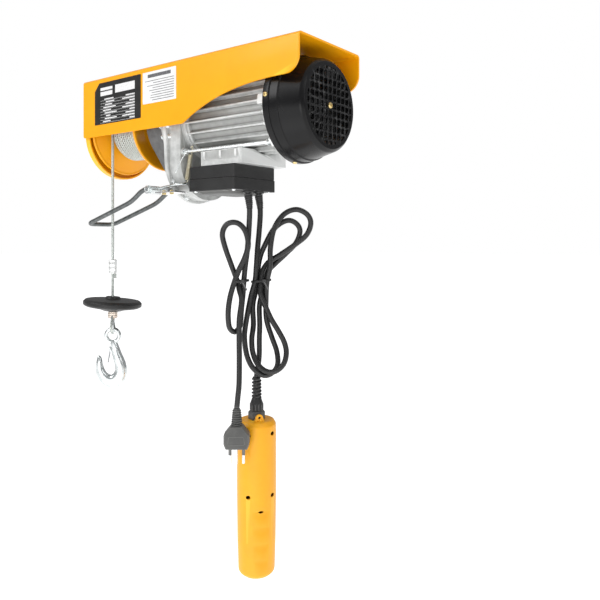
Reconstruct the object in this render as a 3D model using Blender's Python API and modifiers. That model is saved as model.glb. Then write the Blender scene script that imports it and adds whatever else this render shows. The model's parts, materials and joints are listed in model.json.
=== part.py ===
"""Electric wire rope hoist, hung by its frame: motor, gearbox, rope drum, hook, limit loop, pendant and leads.

Units are metres. The origin is the centre of the frame's top face, +X points to the motor end,
-Y to the front panel and +Z up. Everything hangs below z = 0.
"""
import math

import bmesh
import bpy
from mathutils import Matrix, Vector

for old in list(bpy.data.objects):
    bpy.data.objects.remove(old, do_unlink=True)

GAP = 0.0003            # clearance between fixed neighbours
RUN = 0.00009           # radial clearance of a running fit

# Frame channel
FRAME_L = 0.440
FRAME_W = 0.1432
FRAME_T = 0.0028
FRAME_BEND = 0.005
FRAME_DEEP = 0.093      # side panel depth at the drum end
FRAME_SHALLOW = 0.0505  # side panel depth at the motor end
FRAME_CORNER = 0.022
END_R = 0.0685          # rounded foot of the end plate
END_Z = -0.0868
END_X = (-0.2185, -0.2085)
BOLT_X, BOLT_Y, BOLT_R = 0.110, 0.040, 0.0055

# Common axis of the drum and the motor, and the layshaft below it
AXIS_Z = -0.0815
LAY_A = 0.060
LAY_Z = AXIS_Z - LAY_A
SHAFT_R = 0.008

# Drum
RIM_R = 0.0665
DRUM_MID = -0.1521
RIM_OUT = 0.0524        # rim face from the drum's middle
BARREL_R = 0.0325
LAYER2_R = 0.0402
LAYER3_R = 0.0448

# Rope and bottom block
ROPE_R = 0.00225
ROPE_X = -0.1815
ROPE_Y = -(LAYER2_R + GAP + ROPE_R)
SLEEVE_Z = (-0.3146, -0.2912)
HUB_TOP = -0.3520
DISC_TOP = -0.3575
DISC_R = 0.0467
DISC_TILT = 4.5
FERRULE_Z = (-0.3872, -0.3766)
THIMBLE_BOTTOM = -0.4153
EYE_Z = -0.4161
HOOK_TURN = math.radians(37.3)

# Gears
MOD_1, PINION_1, WHEEL_1 = 0.0015, 11, 69
MOD_2, PINION_2, WHEEL_2 = 0.0020, 10, 50

# Motor
MOTOR_X = (-0.0030, 0.1580)
FIN_R, BODY_R, BORE_R = 0.0565, 0.0500, 0.0460
TIE_Y, TIE_LOW, TIE_HIGH = 0.0500, 0.0485, 0.0450
COVER_X = 0.1628
COVER_R = 0.0735

# Control box
BOX_X = (0.0070, 0.0950)
BOX_Y = (-0.0520, 0.0375)
BOX_Z = (-0.1890, -0.1535)
BOX_SPLIT = -0.1715

# Limit lever
PIVOT = Vector((-0.0500, 0.0, -0.1845))
LOOP_Y = (-0.0735, -0.0233)
LOOP_R = 0.0035

# Cords
CORD_R = 0.0039
MAINS_EXIT = Vector((0.0862, -0.0125, -0.1935))
PENDANT_EXIT = Vector((0.0867, 0.0100, -0.1935))
HANK_TURN = math.radians(37.34)
PLUG = Vector((0.0871, -0.0376, -0.4945))
PLUG_PINS = ((-0.0095, 0.0), (0.0095, 0.0), (-0.0006, -0.0030))   # across, out

# Pendant handset
PEND = Vector((0.0844, 0.0083, 0.0))
PEND_R = 0.0285
PEND_TOP, PEND_BOTTOM = -0.5190, -0.7430
PEND_WALL = 0.0025
PEND_FRONT = Vector((-0.812, 0.583, 0.0)).normalized()
PANEL_Z = (-0.6180, -0.5450)
BUTTON_Z = (-0.5640, -0.5990)
BUTTON_R = 0.0105
GROOVE_Z = (-0.6470, -0.6705, -0.6940, -0.7170)


def collection(name):
    made = bpy.data.collections.new(name)
    bpy.context.scene.collection.children.link(made)
    return made


HOIST = collection("wire_rope_hoist")
CUTTERS = collection("cutters")


def material(name, colour, roughness, metallic=0.0):
    made = bpy.data.materials.new(name)
    made.use_nodes = True
    shader = made.node_tree.nodes["Principled BSDF"]
    shader.inputs["Base Color"].default_value = (*colour, 1.0)
    shader.inputs["Roughness"].default_value = roughness
    shader.inputs["Metallic"].default_value = metallic
    made.diffuse_color = (*colour, 1.0)
    return made


YELLOW = (0.95, 0.42, 0.01)
GREY_CAST = (0.52, 0.53, 0.54)
BLACK = (0.015, 0.015, 0.016)
ZINC = (0.62, 0.64, 0.66)
STEEL = (0.45, 0.46, 0.47)
BRASS = (0.72, 0.55, 0.25)
COPPER = (0.70, 0.35, 0.20)


def place(obj, look, coll=None):
    """Link an object, give it its own material and shade its round faces smooth."""
    (coll or HOIST).objects.link(obj)
    if look:
        colour, rough, metal = look
        obj.data.materials.append(material(obj.name + "_finish", colour, rough, metal))
    if coll is CUTTERS:
        obj.hide_render = True
        obj.display_type = "WIRE"
    return obj


def mesh_object(name, bm, look, coll=None, origin=(0, 0, 0)):
    bmesh.ops.translate(bm, verts=bm.verts, vec=-Vector(origin))
    mesh = bpy.data.meshes.new(name)
    bm.to_mesh(mesh)
    bm.free()
    mesh.shade_smooth()
    mesh.set_sharp_from_angle(angle=math.radians(35))
    obj = bpy.data.objects.new(name, mesh)
    obj.location = origin
    return place(obj, look, coll)


AXES = {
    "X": Matrix(((0, 0, 1), (1, 0, 0), (0, 1, 0))).to_4x4(),
    "Y": Matrix(((1, 0, 0), (0, 0, -1), (0, 1, 0))).to_4x4(),
    "Z": Matrix.Identity(4),
}


def add_box(bm, low, high):
    low, high = Vector(low), Vector(high)
    size = high - low
    turn = Matrix.Translation((low + high) / 2) @ Matrix.Diagonal((*size, 1.0))
    bmesh.ops.create_cube(bm, size=1.0, matrix=turn)


def add_rod(bm, centre, axis, radius, length, sides=24, radius2=None):
    """Add a capped cylinder or cone; axis is X, Y, Z or a direction."""
    if isinstance(axis, str):
        turn = AXES[axis]
    else:
        turn = Vector(axis).to_track_quat("Z", "Y").to_matrix().to_4x4()
    bmesh.ops.create_cone(
        bm, cap_ends=True, segments=sides, radius1=radius,
        radius2=radius if radius2 is None else radius2, depth=length,
        matrix=Matrix.Translation(centre) @ turn)


def box(name, low, high, look, bevel=0.0, segments=2, coll=None, origin=None):
    bm = bmesh.new()
    add_box(bm, low, high)
    obj = mesh_object(name, bm, look, coll, origin or (Vector(low) + Vector(high)) / 2)
    if bevel:
        mod = obj.modifiers.new("edges", "BEVEL")
        mod.width = bevel
        mod.segments = segments
    return obj


def rod(name, centre, axis, radius, length, look, sides=24, coll=None, origin=None):
    bm = bmesh.new()
    add_rod(bm, centre, axis, radius, length, sides)
    return mesh_object(name, bm, look, coll, origin or centre)


def lathe(name, profile, look, centre=(0, 0, 0), axis="X", steps=32, coll=None):
    """Turn a profile of (along, radius) points about the axis through centre."""
    area = 0.0
    for (h0, r0), (h1, r1) in zip(profile, profile[1:] + profile[:1]):
        area += r0 * h1 - r1 * h0
    points = profile if area < 0 else profile[::-1]
    on_axis = [r < 1e-9 for h, r in points]
    if any(on_axis):
        turn = next(i for i in range(len(points)) if on_axis[i] and on_axis[i - 1])
        points = points[turn:] + points[:turn]
    mesh = bpy.data.meshes.new(name)
    edges = [(i, i + 1) for i in range(len(points) - 1)]
    if not any(on_axis):
        edges.append((len(points) - 1, 0))
    mesh.from_pydata([(r, 0, h) for h, r in points], edges, [])
    obj = bpy.data.objects.new(name, mesh)
    obj.location = centre
    if axis == "X":
        obj.rotation_euler = (0, math.pi / 2, 0)
    elif axis == "Y":
        obj.rotation_euler = (-math.pi / 2, 0, 0)
    elif axis != "Z":
        obj.rotation_euler = Vector(axis).to_track_quat("Z", "Y").to_euler()
    mod = obj.modifiers.new("turn", "SCREW")
    mod.axis = "Z"
    mod.steps = steps
    mod.render_steps = steps
    mod.use_merge_vertices = True
    mod.merge_threshold = 0.00001
    mod.use_smooth_shade = True
    return place(obj, look, coll)


def tube(name, points, radius, look, origin=(0, 0, 0), resolution=2, coll=None, closed=False):
    """A wire or cord along points, with filled caps."""
    curve = bpy.data.curves.new(name, "CURVE")
    curve.dimensions = "3D"
    curve.bevel_depth = radius
    curve.bevel_resolution = resolution
    curve.use_fill_caps = True
    line = curve.splines.new("POLY")
    line.points.add(len(points) - 1)
    line.use_cyclic_u = closed
    for slot, point in zip(line.points, points):
        slot.co = (*(Vector(point) - Vector(origin)), 1.0)
    obj = bpy.data.objects.new(name, curve)
    obj.location = origin
    return place(obj, look, coll)


def to_mesh(obj):
    """Replace a curve object with a welded mesh object of the same name."""
    graph = bpy.context.evaluated_depsgraph_get()
    graph.update()
    mesh = bpy.data.meshes.new_from_object(obj.evaluated_get(graph))
    bm = bmesh.new()
    bm.from_mesh(mesh)
    bmesh.ops.remove_doubles(bm, verts=bm.verts, dist=0.000005)
    bm.to_mesh(mesh)
    bm.free()
    mesh.shade_smooth()
    mesh.set_sharp_from_angle(angle=math.radians(35))
    name, matrix, colls = obj.name, obj.matrix_world.copy(), list(obj.users_collection)
    shown = obj.display_type
    bpy.data.objects.remove(obj, do_unlink=True)
    made = bpy.data.objects.new(name, mesh)
    made.matrix_world = matrix
    for coll in colls:
        coll.objects.link(made)
    if CUTTERS in colls:
        made.hide_render = True
    made.display_type = shown
    return made


def prism(name, outlines, axis, low, high, look, coll=None, origin=(0, 0, 0)):
    """A flat outline, with any holes, drawn across the axis and given a thickness from low to high."""
    origin = Vector(origin)
    flat = AXES[axis].inverted() @ origin
    curve = bpy.data.curves.new(name, "CURVE")
    curve.dimensions = "2D"
    curve.fill_mode = "BOTH"
    curve.extrude = (high - low) / 2
    for outline in outlines:
        line = curve.splines.new("POLY")
        line.points.add(len(outline) - 1)
        line.use_cyclic_u = True
        for slot, (a, b) in zip(line.points, outline):
            slot.co = (a - flat.x, b - flat.y, 0.0, 1.0)
    obj = bpy.data.objects.new(name, curve)
    middle = (high + low) / 2
    middle = -middle if axis == "Y" else middle
    shift = flat.copy()
    shift.z = middle
    obj.matrix_world = Matrix.Translation(AXES[axis] @ shift) @ AXES[axis]
    place(obj, look, coll)
    bpy.context.view_layer.update()
    return to_mesh(obj)


def boolean(obj, other, operation="DIFFERENCE"):
    mod = obj.modifiers.new(operation.lower() + "_" + other.name, "BOOLEAN")
    mod.operation = operation
    mod.solver = "EXACT"
    mod.object = other
    return obj


def cutter(name, fill):
    """A cutter whose bodies are added by fill(bm)."""
    bm = bmesh.new()
    fill(bm)
    return mesh_object(name, bm, None, CUTTERS)


def arc(cx, cy, radius, start, stop, steps):
    span = [start + (stop - start) * i / steps for i in range(steps + 1)]
    return [(cx + radius * math.cos(math.radians(a)), cy + radius * math.sin(math.radians(a)))
            for a in span]


def bezier(p0, p1, p2, p3, steps):
    made = []
    for i in range(steps + 1):
        t = i / steps
        u = 1 - t
        made.append(tuple(u ** 3 * a + 3 * u * u * t * b + 3 * u * t * t * c + t ** 3 * d
                          for a, b, c, d in zip(p0, p1, p2, p3)))
    return made


def smooth_path(points, step):
    """Centripetal-like Catmull-Rom through points, read off about every step metres."""
    pts = [Vector(p) for p in points]
    pts = [2 * pts[0] - pts[1]] + pts + [2 * pts[-1] - pts[-2]]
    dense = []
    for i in range(1, len(pts) - 2):
        a, b, c, d = pts[i - 1:i + 3]
        count = 24
        for k in range(count):
            t = k / count
            dense.append(0.5 * ((2 * b) + (c - a) * t + (2 * a - 5 * b + 4 * c - d) * t * t
                                + (3 * b - a - 3 * c + d) * t ** 3))
    dense.append(pts[-2])
    run = [0.0]
    for a, b in zip(dense, dense[1:]):
        run.append(run[-1] + (b - a).length)
    count = max(2, round(run[-1] / step))
    made, k = [], 0
    for i in range(count + 1):
        goal = run[-1] * i / count
        while k < len(run) - 2 and run[k + 1] < goal:
            k += 1
        part = (goal - run[k]) / max(run[k + 1] - run[k], 1e-12)
        made.append(dense[k].lerp(dense[k + 1], min(1.0, part)))
    return made


def round_corners(points, radius, steps=3):
    """Replace each inner corner of a polyline with an arc-like bend."""
    pts = [Vector(p) for p in points]
    made = [pts[0]]
    for a, b, c in zip(pts, pts[1:], pts[2:]):
        back, ahead = (a - b), (c - b)
        cut = min(radius, back.length * 0.45, ahead.length * 0.45)
        p, q = b + back.normalized() * cut, b + ahead.normalized() * cut
        for i in range(steps + 1):
            t = i / steps
            made.append(p * (1 - t) ** 2 + b * 2 * t * (1 - t) + q * t * t)
    made.append(pts[-1])
    return made


# ---------------------------------------------------------------- frame

def frame_channel():
    """Bent sheet channel: deep at the drum, swept up to a shallow rounded motor end."""
    w, t, r = FRAME_W / 2, FRAME_T, FRAME_BEND
    low = -FRAME_DEEP - 0.002
    ri = r - t
    section = ([(-w, low)] + arc(-w + r, -r, r, 180, 90, 4) + arc(w - r, -r, r, 90, 0, 4)
               + [(w, low), (w - t, low)] + arc(w - r, -r, ri, 0, 90, 3)
               + arc(-w + r, -r, ri, 90, 180, 3) + [(-w + t, low)])
    obj = prism("frame_channel", [section], "X", -FRAME_L / 2, FRAME_L / 2,
                (YELLOW, 0.35, 0.0))
    h = FRAME_L / 2
    c = FRAME_CORNER
    side = ([(-h - 0.002, 0.005), (-h - 0.002, -FRAME_DEEP + 0.004)]
            + arc(-h + 0.004, -FRAME_DEEP + 0.004, 0.004, 180, 270, 3)[1:]
            + bezier((0.012, -FRAME_DEEP), (0.065, -0.062), (0.120, -FRAME_SHALLOW - 0.0003),
                     (h - c, -FRAME_SHALLOW), 14)
            + arc(h - c, -FRAME_SHALLOW + c, c, -90, 0, 5)[1:] + [(h, 0.005)])
    keep = prism("frame_side_profile", [side], "Y", -0.09, 0.09, None, CUTTERS)
    boolean(obj, keep, "INTERSECT")

    def holes(bm):
        for x in (-BOLT_X, BOLT_X):
            for y in (-BOLT_Y, BOLT_Y):
                add_rod(bm, (x, y, -0.002), "Z", BOLT_R, 0.02, 20)

    boolean(obj, cutter("frame_bolt_holes", holes))


def end_plate():
    """Dished plate with a rounded foot that closes the drum end and carries the drum bearing."""
    top = -FRAME_T - GAP

    def outline(inset):
        r = END_R - inset
        c = 0.0035
        return [(-r + c, top - inset), (-r, top - inset - c), *arc(0, END_Z, r, 180, 360, 24),
                (r, top - inset - c), (r - c, top - inset)]

    obj = prism("drum_end_plate", [outline(0)], "X", *END_X, (YELLOW, 0.35, 0.0))
    pocket = prism("end_plate_pocket", [outline(0.0025)], "X", END_X[0] + 0.0025, END_X[1] + 0.01,
                   None, CUTTERS)
    boolean(obj, pocket)
    boolean(obj, cutter("end_plate_bore",
                        lambda bm: add_rod(bm, (-0.2175, 0, AXIS_Z), "X", 0.0151, 0.02, 28)))


# ---------------------------------------------------------------- drum

def drum_parts():
    centre = (0, 0, AXIS_Z)
    r = SHAFT_R
    lathe("drum_shaft", [(-0.2255, 0), (-0.2255, r - 0.0008), (-0.2250, r), (-0.2242, r),
                         (-0.2242, r - 0.0009), (-0.2226, r - 0.0009), (-0.2226, r),
                         (-0.0450, r), (-0.0442, r - 0.0008), (-0.0442, 0)],
          (STEEL, 0.3, 1.0), centre, steps=20)
    lathe("drum_bearing_left", [(-0.2222, r + RUN), (-0.2222, 0.0205), (-0.2188, 0.0205),
                                (-0.2188, 0.0148), (-0.2100, 0.0148), (-0.2100, r + RUN)],
          (BRASS, 0.35, 1.0), centre, steps=28)
    lathe("drum_bearing_right", [(-0.0896, r + RUN), (-0.0896, 0.0148), (-0.0760, 0.0148),
                                 (-0.0760, r + RUN)], (STEEL, 0.3, 1.0), centre, steps=28)

    # Welded drum: a barrel between two pressed flanges, each dished towards the middle.
    out, hub, mid = RIM_OUT, 0.0367, DRUM_MID
    outer = [(out - 0.0040, RIM_R), (out, RIM_R), (out, 0.0640), (hub + 0.0035, 0.0370),
             (hub + 0.0030, r + GAP), (hub, r + GAP), (hub, 0.0290)]
    inner = [(hub, BARREL_R), (hub + 0.0005, 0.0370), (out - 0.0040, 0.0635)]
    right = [(mid + h, radius) for h, radius in inner + outer]
    left = [(mid - h, radius) for h, radius in inner + outer]
    lathe("rope_drum", right + left[::-1], (YELLOW, 0.35, 0.0), centre, steps=36)
    inner = BARREL_R + GAP
    lathe("rope_winding", [(-0.1877, inner), (-0.1877, LAYER2_R - 0.001), (-0.1868, LAYER2_R),
                           (-0.1772, LAYER2_R), (-0.1765, LAYER3_R - 0.001),
                           (-0.1755, LAYER3_R), (-0.1180, LAYER3_R), (-0.1170, LAYER3_R - 0.001),
                           (-0.1165, inner)], (ZINC, 0.35, 1.0), centre, steps=28)


# ---------------------------------------------------------------- gears

def gear_outline(teeth, module, turn, thin):
    """Straight-flanked teeth; turn is the angle of a tooth's middle, thin the backlash left."""
    pitch = teeth * module / 2
    tip, root = pitch + 0.86 * module, pitch - 1.08 * module
    step = 2 * math.pi / teeth
    half = (math.pi * module / 2 - thin) / 2 / pitch
    slope = math.tan(math.radians(20))
    at_tip = half - 0.86 * module * slope / pitch
    at_root = half + 1.0 * module * slope / pitch
    made = []
    for i in range(teeth):
        mid = turn + i * step
        for radius, angle in ((root, -at_root), (tip, -at_tip), (tip, at_tip), (root, at_root)):
            made.append((radius * math.cos(mid + angle), radius * math.sin(mid + angle)))
    return made


def ring(radius, count=20):
    return [(radius * math.cos(2 * math.pi * i / count), radius * math.sin(2 * math.pi * i / count))
            for i in range(count)]


def gear(name, teeth, module, turn, thin, bore, axis_z, low, high, look):
    outlines = [gear_outline(teeth, module, turn, thin)] + ([ring(bore)] if bore else [])
    lift = [[(y, z + axis_z) for y, z in outline] for outline in outlines]
    return prism(name, lift, "X", low, high, look, None if look else CUTTERS, (0, 0, axis_z))


def gear_train():
    """Two reductions with the output back on the motor's axis. Y is across, Z is up in the outline."""
    down = -math.pi / 2
    steel = (STEEL, 0.35, 1.0)
    thin1, thin2 = 0.00035, 0.00045
    # A tooth of each wheel points at its mate, whose tooth gap faces it.
    gear("layshaft_wheel", WHEEL_1, MOD_1, -down, thin1, 0.0081, LAY_Z, -0.0330, -0.0230, steel)
    gear("output_wheel", WHEEL_2, MOD_2, down, thin2, SHAFT_R + GAP, AXIS_Z, -0.0600, -0.0460,
         steel)
    centre = (0, 0, LAY_Z)
    body = lathe("layshaft_pinion", [(-0.0800, 0), (-0.0800, 0.0050), (-0.0440, 0.0050),
                                     (-0.0440, 0.0078), (-0.0225, 0.0078), (-0.0225, 0.0050),
                                     (-0.0062, 0.0050), (-0.0062, 0)], steel, centre, steps=24)
    boolean(body, gear("layshaft_teeth", PINION_2, MOD_2, -down + math.pi / PINION_2, thin2, 0,
                       LAY_Z, -0.0612, -0.0448, None), "UNION")
    for name, low, high in (("layshaft_bush_left", -0.0799, -0.0730),
                            ("layshaft_bush_right", -0.0130, -0.0064)):
        lathe(name, [(low, 0.0050 + RUN), (low, 0.0085), (high, 0.0085), (high, 0.0050 + RUN)],
              (BRASS, 0.4, 1.0), centre, steps=24)


def hull(r1, r2, steps=14):
    """Outline round the drum axis circle and the layshaft circle below it."""
    lean = math.degrees(math.asin((r1 - r2) / LAY_A))
    top = arc(0, AXIS_Z, r1, -lean, 180 + lean, steps)
    low = arc(0, LAY_Z, r2, 180 + lean, 360 - lean, steps)
    return top + low


def gearbox():
    look = (GREY_CAST, 0.5, 0.9)
    body = prism("gearbox_housing", [hull(0.0585, 0.0400)], "X", -0.0810, -0.0353, look)
    boolean(body, prism("gearbox_housing_flange", [hull(0.0645, 0.0505)], "X", -0.0412, -0.0353,
                        None, CUTTERS), "UNION")
    boolean(body, cutter("gearbox_neck", lambda bm: add_rod(bm, (-0.0850, 0, AXIS_Z), "X", 0.0495,
                                                            0.0100, 36)), "UNION")
    boolean(body, prism("gearbox_housing_room", [hull(0.0545, 0.0360)], "X", -0.0745, -0.0300,
                        None, CUTTERS))

    def left_bores(bm):
        add_rod(bm, (-0.0840, 0, AXIS_Z), "X", 0.0151, 0.030, 28)
        add_rod(bm, (-0.0770, 0, LAY_Z), "X", 0.0088, 0.0063, 24)

    boolean(body, cutter("gearbox_housing_bores", left_bores))

    cover = prism("gearbox_cover", [hull(0.0645, 0.0615)], "X", -0.0350, -0.0290, look)
    boolean(cover, prism("gearbox_cover_body", [hull(0.0585, 0.0575)], "X", -0.0300, -0.0050,
                         None, CUTTERS), "UNION")
    boolean(cover, cutter("gearbox_adapter", lambda bm: add_rod(
        bm, (-0.0121, 0, AXIS_Z), "X", 0.0545, 0.0172, 36)), "UNION")
    boolean(cover, cutter("gearbox_hanger", lambda bm: add_box(
        bm, (-0.0342, -0.0300, AXIS_Z + 0.0565), (-0.0150, 0.0300, -FRAME_T - GAP))), "UNION")
    for i, (y, z) in enumerate(tie_spots()):
        boolean(cover, cutter(f"gearbox_boss_{i}", lambda bm, y=y, z=z: add_rod(
            bm, (-0.0173, y, z), "X", 0.0072, 0.0280, 16)), "UNION")
    boolean(cover, prism("gearbox_cover_room", [hull(0.0545, 0.0535)], "X", -0.0400, -0.0135,
                         None, CUTTERS))
    boolean(cover, cutter("gearbox_cover_bores", lambda bm: add_rod(
        bm, (-0.0150, 0, AXIS_Z), "X", 0.0166, 0.040, 28)))
    boolean(cover, cutter("gearbox_cover_lay_bore", lambda bm: add_rod(
        bm, (-0.0100, 0, LAY_Z), "X", 0.0088, 0.0080, 24)))


# ---------------------------------------------------------------- motor

def tie_spots():
    return [(-TIE_Y, AXIS_Z - TIE_LOW), (TIE_Y, AXIS_Z - TIE_LOW),
            (-TIE_HIGH, AXIS_Z + TIE_HIGH), (TIE_HIGH, AXIS_Z + TIE_HIGH)]


def motor_housing():
    """Cast tube with cooling fins that run along the motor."""
    fins, half_tip, half_foot = 22, 1.3, 2.2
    outer = []
    for i in range(fins):
        mid = 360 * (i + 0.5) / fins
        for radius, turn in ((BODY_R, -half_foot), (FIN_R, -half_tip), (FIN_R, half_tip),
                             (BODY_R, half_foot)):
            a = math.radians(mid + turn)
            outer.append((radius * math.cos(a), AXIS_Z + radius * math.sin(a)))
    bore = [(y, z + AXIS_Z) for y, z in ring(BORE_R, 32)]
    body = prism("motor_housing", [outer, bore], "X", *MOTOR_X, (GREY_CAST, 0.5, 0.9))
    rim = cutter("motor_rim", lambda bm: add_rod(bm, (0.0030, 0, AXIS_Z), "X", 0.0560, 0.0100, 44))
    boolean(body, rim, "UNION")
    boolean(body, cutter("motor_rim_bore", lambda bm: add_rod(bm, (0, 0, AXIS_Z), "X", BORE_R,
                                                              0.0200, 32)))


def motor_plinth():
    """Cast seat under the motor that carries the control box."""
    obj = box("motor_plinth", (0.0310, BOX_Y[0], BOX_Z[1] + GAP), (0.1090, 0.0460, -0.1327),
              (GREY_CAST, 0.5, 0.9), 0.0012, 1)
    boolean(obj, cutter("plinth_saddle", lambda bm: add_rod(bm, (0.07, 0, AXIS_Z), "X",
                                                            FIN_R + GAP, 0.12, 44)))


def motor_inside():
    centre = (0, 0, AXIS_Z)
    body = lathe("motor_shaft", [(-0.0345, 0), (-0.0345, 0.0055), (-0.0215, 0.0055),
                                 (-0.0215, 0.0075), (0.1880, 0.0075), (0.1880, 0.0060),
                                 (0.2080, 0.0060), (0.2080, 0)], (STEEL, 0.3, 1.0), centre,
                 steps=24)
    boolean(body, gear("motor_teeth", PINION_1, MOD_1, -math.pi / 2 + math.pi / PINION_1, 0.00035,
                       0, AXIS_Z, -0.0341, -0.0219, None), "UNION")
    lathe("motor_bearing_front", [(-0.0130, 0.0075 + RUN), (-0.0130, 0.0163), (-0.0040, 0.0163),
                                  (-0.0040, 0.0075 + RUN)], (STEEL, 0.25, 1.0), centre, steps=24)
    lathe("motor_bearing_rear", [(0.1590, 0.0075 + RUN), (0.1590, 0.0163), (0.1690, 0.0163),
                                 (0.1690, 0.0075 + RUN)], (STEEL, 0.25, 1.0), centre, steps=24)
    lathe("rotor_core", [(0.0280, 0.0078), (0.0280, 0.0230), (0.0320, 0.0270), (0.1140, 0.0270),
                         (0.1180, 0.0230), (0.1180, 0.0078)], (STEEL, 0.45, 1.0), centre, steps=28)
    lathe("stator_core", [(0.0300, 0.0276), (0.0180, 0.0330), (0.0180, 0.0420), (0.0300, 0.0455),
                          (0.1150, 0.0455), (0.1280, 0.0420), (0.1280, 0.0330), (0.1150, 0.0276)],
          (COPPER, 0.5, 0.6), centre, steps=28)
    lathe("brake_magnet", [(0.1330, 0.0200), (0.1330, 0.0420), (0.1480, 0.0420), (0.1480, 0.0200)],
          (STEEL, 0.5, 0.9), centre, steps=24)
    lathe("brake_disc", [(0.1495, 0.0078), (0.1495, 0.0380), (0.1540, 0.0380), (0.1540, 0.0078)],
          ((0.10, 0.09, 0.08), 0.8, 0.0), centre, steps=24)


def end_shield():
    """Rear bearing plate with an ear for each tie rod."""
    body = lathe("motor_end_shield", [(0.1583, 0.0166), (0.1583, 0.0560), (0.1640, 0.0560),
                                      (0.1640, 0.0230), (0.1700, 0.0230), (0.1700, 0.0166)],
                 (GREY_CAST, 0.5, 0.9), (0, 0, AXIS_Z), steps=36)
    for i, (y, z) in enumerate(tie_spots()):
        reach = Vector((0, y, z - AXIS_Z))
        out = reach.length - 0.0480

        def ear(bm, y=y, z=z, reach=reach, out=out):
            turn = Matrix.Rotation(math.atan2(reach.z, reach.y), 4, "X")
            middle = Vector((0.1603, 0, AXIS_Z)) + reach.normalized() * (0.0460 + out / 2)
            size = Matrix.Diagonal((0.0040, out + 0.0080, 0.0120, 1.0))
            bmesh.ops.create_cube(bm, size=1.0, matrix=Matrix.Translation(middle) @ turn @ size)

        boolean(body, cutter(f"end_shield_ear_{i}", ear), "UNION")
    boolean(body, cutter("end_shield_hanger", lambda bm: add_box(
        bm, (0.1587, -0.0200, AXIS_Z + 0.0500), (0.1622, 0.0200, -FRAME_T - GAP))), "UNION")


def tie_rods():
    names = ("tie_rod_front_lower", "tie_rod_rear_lower", "tie_rod_front_upper",
             "tie_rod_rear_upper")
    for name, (y, z) in zip(names, tie_spots()):
        rod(name, (0.07745, y, z), "X", 0.0023, 0.1609, (ZINC, 0.3, 1.0), 12)


def fan():
    """Hub with eight straight blades."""
    body = lathe("cooling_fan", [(0.1890, 0.0063), (0.1890, 0.0150), (0.1780, 0.0240),
                                 (0.1780, 0.0265), (0.1820, 0.0265), (0.2040, 0.0150),
                                 (0.2040, 0.0063)], (BLACK, 0.5, 0.0), (0, 0, AXIS_Z), steps=24)
    for i in range(8):
        def blade(bm, i=i):
            turn = Matrix.Rotation(math.radians(45 * i + 10), 4, "X")
            size = Matrix.Diagonal((0.0200, 0.0420, 0.0020, 1.0))
            shift = Matrix.Translation((0.1920, 0, AXIS_Z)) @ turn @ Matrix.Translation(
                (0, 0.0350, 0))
            bmesh.ops.create_cube(bm, size=1.0, matrix=shift @ size)
        boolean(body, cutter(f"fan_blade_{i}", blade), "UNION")


def fan_cover():
    """Stepped plastic hood with a grille of square holes in its face."""
    x, r, t = COVER_X, COVER_R, 0.0022
    skin = [(x, r), (x + 0.0090, r), (x + 0.0096, r - 0.0018), (x + 0.0215, r - 0.0030),
            (x + 0.0222, r - 0.0045), (x + 0.0530, r - 0.0122), (x + 0.0559, r - 0.0150)]
    inside = [(x + 0.0559 - t, r - 0.0160), (x + 0.0510, r - 0.0143), (x, r - 0.0026)]
    loop = skin + [(x + 0.0559, 0), (x + 0.0559 - t, 0)] + inside
    body = lathe("fan_cover", loop, (BLACK, 0.2, 0.0), (0, 0, AXIS_Z), steps=32)
    pitch, hole = 0.0105, 0.0070

    def holes(bm):
        for i in range(-5, 5):
            for j in range(-5, 5):
                y, z = (i + 0.5) * pitch, (j + 0.5) * pitch
                if math.hypot(abs(y) + hole / 2, abs(z) + hole / 2) < 0.0490:
                    if math.hypot(y, z) > 0.008:
                        add_box(bm, (x + 0.0450, y - hole / 2, AXIS_Z + z - hole / 2),
                                (x + 0.0650, y + hole / 2, AXIS_Z + z + hole / 2))

    boolean(body, cutter("fan_cover_grille", holes))


# ---------------------------------------------------------------- control box

def control_box():
    look = ((0.022, 0.022, 0.023), 0.45, 0.0)
    (x0, x1), (y0, y1), (z0, z1) = BOX_X, BOX_Y, BOX_Z
    t = 0.0025
    upper = box("control_box", (x0, y0, BOX_SPLIT + GAP / 2), (x1, y1, z1), look, 0.003, 2)
    boolean(upper, box("control_box_room", (x0 + t, y0 + t, BOX_SPLIT - 0.01),
                       (x1 - t, y1 - t, z1 - t), None, coll=CUTTERS))
    lid = box("control_box_lid", (x0, y0, z0), (x1, y1, BOX_SPLIT - GAP / 2), look, 0.003, 2)
    boolean(lid, box("control_lid_room", (x0 + t, y0 + t, z0 + t),
                     (x1 - t, y1 - t, BOX_SPLIT + 0.01), None, coll=CUTTERS))

    def outlets(bm):
        for exit_at in (MAINS_EXIT, PENDANT_EXIT):
            add_rod(bm, (exit_at.x, exit_at.y, z0), "Z", 0.0046, 0.02, 20)

    boolean(lid, cutter("control_lid_outlets", outlets))
    box("control_box_base_plate", (x0 + 0.012, y0 + 0.003, z0 - 0.0050),
        (x1 - 0.017, y1 - 0.003, z0 - GAP), ((0.09, 0.09, 0.088), 0.5, 0.2), 0.002, 2)
    rod("run_capacitor", (0.048, 0.018, -0.1713), "X", 0.0125, 0.060, ((0.6, 0.6, 0.6), 0.4, 0.0),
        20)
    box("terminal_block", (0.030, -0.030, -0.1860), (0.066, -0.010, -0.1740),
        ((0.05, 0.12, 0.05), 0.5, 0.0), 0.001, 1)
    box("limit_switch", (0.0105, -0.0480, -0.1800), (0.0240, -0.0380, -0.1620),
        (BLACK, 0.5, 0.0), 0.0005, 1)


# ---------------------------------------------------------------- limit lever

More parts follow.
